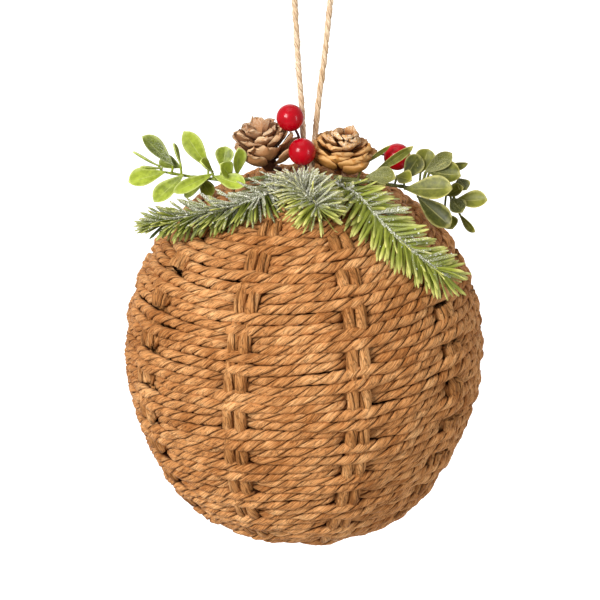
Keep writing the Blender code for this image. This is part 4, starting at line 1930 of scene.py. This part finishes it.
@dataclass
class Pick:
    """Everything gathered on the crown: cones, berries and sprigs.

    Its radii say how high the stems' middle lines lie over the ropes that carry them.
    """

    ball: Ball
    stalk: float = 0.0009
    wire: float = 0.00045
    stem: float = 0.0007

    def route(self, rope: Side, azimuth: float, radius: float, *knots: Triple) -> list[Array]:
        """Lay a stem from the crown outwards.

        Args:
            rope: Which rope of the last turn carries it.
            azimuth: Where it rests there, in degrees around from +X.
            radius: The stem's radius.
            knots: Each next knot's tilt, azimuth and height over the ball.

        Returns:
            The stem's knots.
        """
        rest = self.ball.on_crown(rope, azimuth, radius)
        return [rest, *(self.ball.over(*knot) for knot in knots)]

    def cones(self) -> list[Pinecone]:
        """Set out the two cones: one like an opened bud, and one with broad fans below.

        Returns:
            The left and the right cone.
        """
        ball = self.ball
        return [
            Pinecone("pinecone_left", ball.on_crown(Side.OUTER, 172.0, self.stalk),
                     ball.over(11.2, 191.0, 10.8), (-0.28, -0.12, 1.0), 21, scales=27,
                     longest=0.0122, shortest=0.0080, widest=0.0102, narrowest=0.0062,
                     open_low=6.0, open_high=56.0, curl=1.15, core_height=0.0104,
                     ragged=0.0007),
            Pinecone("pinecone_right", ball.on_crown(Side.INNER, 4.0, self.stalk),
                     ball.over(8.6, 349.0, 10.4), (0.12, -0.16, 1.0), 22, scales=42,
                     longest=0.0124, shortest=0.0044, widest=0.0126, narrowest=0.0048,
                     open_low=4.0, open_high=50.0, curl=0.95, shrink=1.25, core_height=0.0126,
                     core_radius=0.0038, thickness=0.0013, ragged=0.0004),
        ]

    def berries(self) -> list[Berry]:
        """Set out the three berries and their wires, as in the part's source.

        Returns:
            The berries.
        """
        ball, wire = self.ball, self.wire
        return [
            Berry(ball, "berry_top", ball.over(5.4, 221.0, 22.2),
                  self.route(Side.INNER, 225.0, wire, (2.6, 230.0, 8.0), (3.2, 225.0, 14.0))),
            Berry(ball, "berry_middle", ball.over(7.7, 258.0, 11.8),
                  self.route(Side.INNER, 285.0, wire, (6.4, 268.0, 3.5))),
            Berry(ball, "berry_right", ball.over(23.0, 4.0, 12.2),
                  self.route(Side.INNER, 60.0, wire, (11.0, 52.0, 4.0), (17.0, 24.0, 8.5))),
        ]

    def boxwood(self) -> list[BoxwoodSprig]:
        """Set out the two leafy sprigs, leaf by leaf.

        Returns:
            The left and the right sprig.
        """
        ball, stem = self.ball, self.stem
        left = [
            Leaf((-46.9, -8.5, 4.0), (-58.6, -6.0, 12.7), 6.2, -0.5, 0.45, 10.0),
            Leaf((-34.6, -9.0, 3.3), (-43.9, -7.0, 16.0), 6.6, 0.8, 0.05, -8.0),
            Leaf((-49.7, -8.5, 1.7), (-62.1, -9.5, -2.7), 7.0, 0.7, 0.12, 0.0),
            Leaf((-43.3, -9.5, 1.4), (-52.8, -13.0, -8.3), 6.6, 0.3, 0.25, 5.0),
            Leaf((-32.8, -10.0, 2.2), (-46.6, -14.0, -4.2), 4.7, 0.8, 0.05, -15.0),
            Leaf((-51.8, -7.0, 3.3), (-61.7, -6.0, 6.4), 3.6, 0.5, 0.1, 65.0),
            Leaf((-50.8, -7.5, 2.8), (-58.4, -9.0, 2.3), 3.4, 0.5, 0.1, 60.0),
            Leaf((-44.4, -8.5, 4.4), (-48.1, -6.0, 10.8), 3.4, 0.6, 0.1, 60.0),
            Leaf((-44.1, -7.5, 3.0), (-51.7, -3.0, 3.2), 5.2, -0.6, 0.1, 0.0),
            Leaf((-30.1, -7.0, 2.4), (-29.0, -2.0, 9.0), 6.4, -0.3, 0.2, 0.0),
            Leaf((-24.8, -12.0, 2.0), (-25.3, -13.0, 12.9), 5.6, 0.9, 0.2, 35.0),
            Leaf((-26.5, -12.0, 1.2), (-31.4, -15.0, 7.2), 6.0, 0.6, 0.1, 0.0),
            Leaf((-33.2, -9.0, 2.3), (-38.4, -13.0, 6.7), 5.0, 0.6, 0.1, 20.0),
            Leaf((-32.8, -12.0, 1.8), (-21.5, -17.0, -0.7), 6.2, 0.7, 0.2, 0.0),
            Leaf((-34.9, -9.0, 0.8), (-41.6, -5.0, -8.5), 5.8, 0.4, 0.0, 20.0),
            Leaf((-38.1, -9.0, 0.7), (-34.6, -6.0, -7.2), 5.4, 0.0, 0.1, 0.0),
        ]
        right = [
            Leaf((33.5, -13.0, -0.9), (50.1, -16.0, -0.2), 7.6, 0.2, 0.25, 0.0, 0.25),
            Leaf((38.1, -12.0, -3.7), (49.6, -16.0, -13.4), 6.6, -0.7, 0.25, 10.0),
            Leaf((33.5, -8.0, 0.8), (38.3, -3.0, 8.1), 6.0, -0.4, 0.05, 20.0),
            Leaf((39.1, -7.0, 2.8), (41.8, -1.0, 9.4), 5.8, 0.5, 0.05, 0.0),
            Leaf((40.4, -8.0, 3.5), (49.7, -6.0, 10.5), 4.8, 0.0, 0.8, 25.0),
            Leaf((40.8, -7.0, 3.6), (54.8, -3.0, 7.1), 3.2, -0.2, 0.4, 60.0),
            Leaf((41.8, -8.0, 3.9), (53.0, -9.0, 2.4), 6.8, -0.2, 0.35, 0.0),
            Leaf((52.4, -7.0, 1.7), (55.3, -8.0, -2.3), 4.0, -0.7, 0.4, 0.0),
            Leaf((48.4, -8.0, -4.7), (54.6, -9.0, -1.3), 4.0, 0.7, 0.0, 0.0),
            Leaf((51.0, -8.0, -6.5), (62.8, -9.0, -6.2), 5.6, 0.8, 0.0, 0.0),
            Leaf((49.9, -8.0, -5.4), (54.1, -11.0, -9.8), 5.4, -0.6, 0.5, 0.0),
            Leaf((53.2, -8.0, -11.2), (59.4, -9.0, -16.7), 2.8, -0.1, 0.3, 60.0),
            Leaf((30.7, -9.0, 2.5), (36.2, -13.0, 1.7), 5.0, 0.9, 0.1, 0.0),
            Leaf((20.1, -14.0, 3.8), (30.5, -17.0, 3.6), 5.6, 0.3, 0.8, 0.0),
            Leaf((18.8, -6.0, 4.9), (27.3, -2.0, 11.9), 1.7, 0.1, 0.25, 55.0),
            Leaf((21.6, -10.0, 2.6), (35.8, -13.0, 15.4), 2.9, -0.1, 0.35, 40.0, 0.2),
            Leaf((48.0, -8.0, -11.0), (50.9, -10.0, -16.2), 5.0, 0.3, 0.1, 0.0),
        ]
        return [
            BoxwoodSprig(ball, "boxwood_sprig_left",
                         self.route(Side.OUTER, 208.0, stem, (21.5, 206.0, 5.4),
                                    (30.0, 193.0, 10.0), (37.4, 188.5, 19.0)),
                         left, "leaf_green", 31),
            BoxwoodSprig(ball, "boxwood_sprig_right",
                         self.route(Side.INNER, 330.0, stem, (19.4, 335.0, 4.4),
                                    (29.0, 344.0, 8.0), (39.4, 352.0, 15.0)),
                         right, "leaf_sage", 32, broad=1.22),
        ]

    def fir(self) -> list[FirSprig]:
        """Set out the three fir sprigs.

        Returns:
            The left, the middle and the right sprig.
        """
        ball, stem = self.ball, self.stem
        return [
            FirSprig(ball, "fir_sprig_left",
                     self.route(Side.OUTER, 224.0, stem, (22.8, 235.0, 3.7),
                                (31.6, 220.0, 4.0), (41.7, 207.0, 8.0), (47.4, 202.5, 12.3)),
                     340, 41, frosted=0.95, frost_fade=0.6, tone=-0.3, droop=0.7,
                     needle_length=0.0122, needle_width=0.00105, sweep_root=80.0,
                     sweep_tip=36.0, low_top=0.7),
            FirSprig(ball, "fir_sprig_middle",
                     self.route(Side.OUTER, 255.0, stem, (15.0, 262.0, 4.5),
                                (22.0, 270.5, 6.0), (28.5, 277.0, 7.0)),
                     300, 42, frosted=0.95, frost_fade=0.55, tone=0.6, sweep_root=84.0,
                     sweep_tip=64.0, needle_length=0.0124, needle_width=0.0010,
                     shorter_at_tip=0.1, low_top=1.4),
            FirSprig(ball, "fir_sprig_right",
                     self.route(Side.INNER, 312.0, stem, (23.4, 308.0, 4.8),
                                (37.7, 311.0, 5.0), (51.4, 319.0, 6.9), (56.6, 325.0, 7.4)),
                     230, 43, flatness=0.75, frosted=0.42, frost_fade=0.30, tone=0.5,
                     droop=0.25, needle_length=0.0142, needle_width=0.0012, sweep_root=70.0,
                     sweep_tip=44.0, low_top=1.2, plane=(0.35, -0.75, 0.55)),
        ]


def main() -> None:
    """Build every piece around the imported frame."""
    logging.basicConfig(level=logging.INFO, format="%(message)s")
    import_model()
    ball = Ball()
    studio = Studio(ball)
    studio.camera()

    # A rope finish's last colour is its painted shade for folds, grooves and gaps
    rope = RopeFinish("jute_rope", paint(235, 181, 123), paint(202, 141, 85), paint(158, 98, 48),
                      paint(54, 22, 5)).material()
    stake = RopeFinish("jute_stakes", paint(218, 164, 108), paint(184, 126, 72),
                       paint(142, 88, 42), paint(50, 22, 6), 0.0003).material()
    twine = RopeFinish("pale_twine", paint(244, 224, 196), paint(228, 200, 166),
                       paint(204, 170, 130), paint(168, 130, 92), 0.00012, painted_shade_strength=0.5).material()
    HangerTwine(ball).build(twine)
    WeftRope(ball).build(rope)
    for index in range(ball.stakes):
        StakeRope(ball, index).build(stake)

    brown = ScaleFinish("cone_brown", paint(76, 38, 18), paint(180, 126, 80), paint(236, 200, 154),
                        paint(214, 190, 162)).material()
    golden = ScaleFinish("cone_golden", paint(104, 56, 18), paint(198, 137, 68),
                         paint(230, 186, 124), paint(240, 222, 192), 0.6).material()
    pick = Pick(ball)
    for cone, finish, slot in zip(pick.cones(), (brown, golden), ("cone_brown", "cone_golden")):
        cone.build(finish, slot)
    skin = GlossFinish("berry_red", paint(178, 0, 22), paint(158, 0, 16)).material()
    wrap = PlainFinish("berry_wire", paint(92, 36, 34), paint(60, 22, 22)).material()
    for berry in pick.berries():
        berry.build(skin, wrap)
    # A leaf finish's third colour is its painted highlight for rims and tips, and its paler midrib
    fresh = LeafFinish("leaf_green", paint(88, 100, 14), paint(166, 180, 58),
                       paint(204, 210, 130), paint(74, 78, 22), paint(196, 200, 176)).material()
    sage = LeafFinish("leaf_sage", paint(64, 68, 12), paint(126, 126, 36), paint(204, 194, 114),
                      paint(56, 58, 20), paint(162, 162, 112), 0.70).material()
    for sprig, finish in zip(pick.boxwood(), (fresh, sage)):
        sprig.build(finish)
    needles = NeedleFinish("fir_green", paint(68, 82, 16), paint(160, 168, 56),
                           paint(222, 216, 128), paint(255, 252, 236)).material()
    frost = PlainFinish("frost", paint(236, 236, 224), paint(214, 214, 200), 1500.0).material()
    for sprig in pick.fir():
        sprig.build(needles, frost)

    studio.build(BackdropFinish("studio_white").material())


if __name__ == "__main__":
    main()
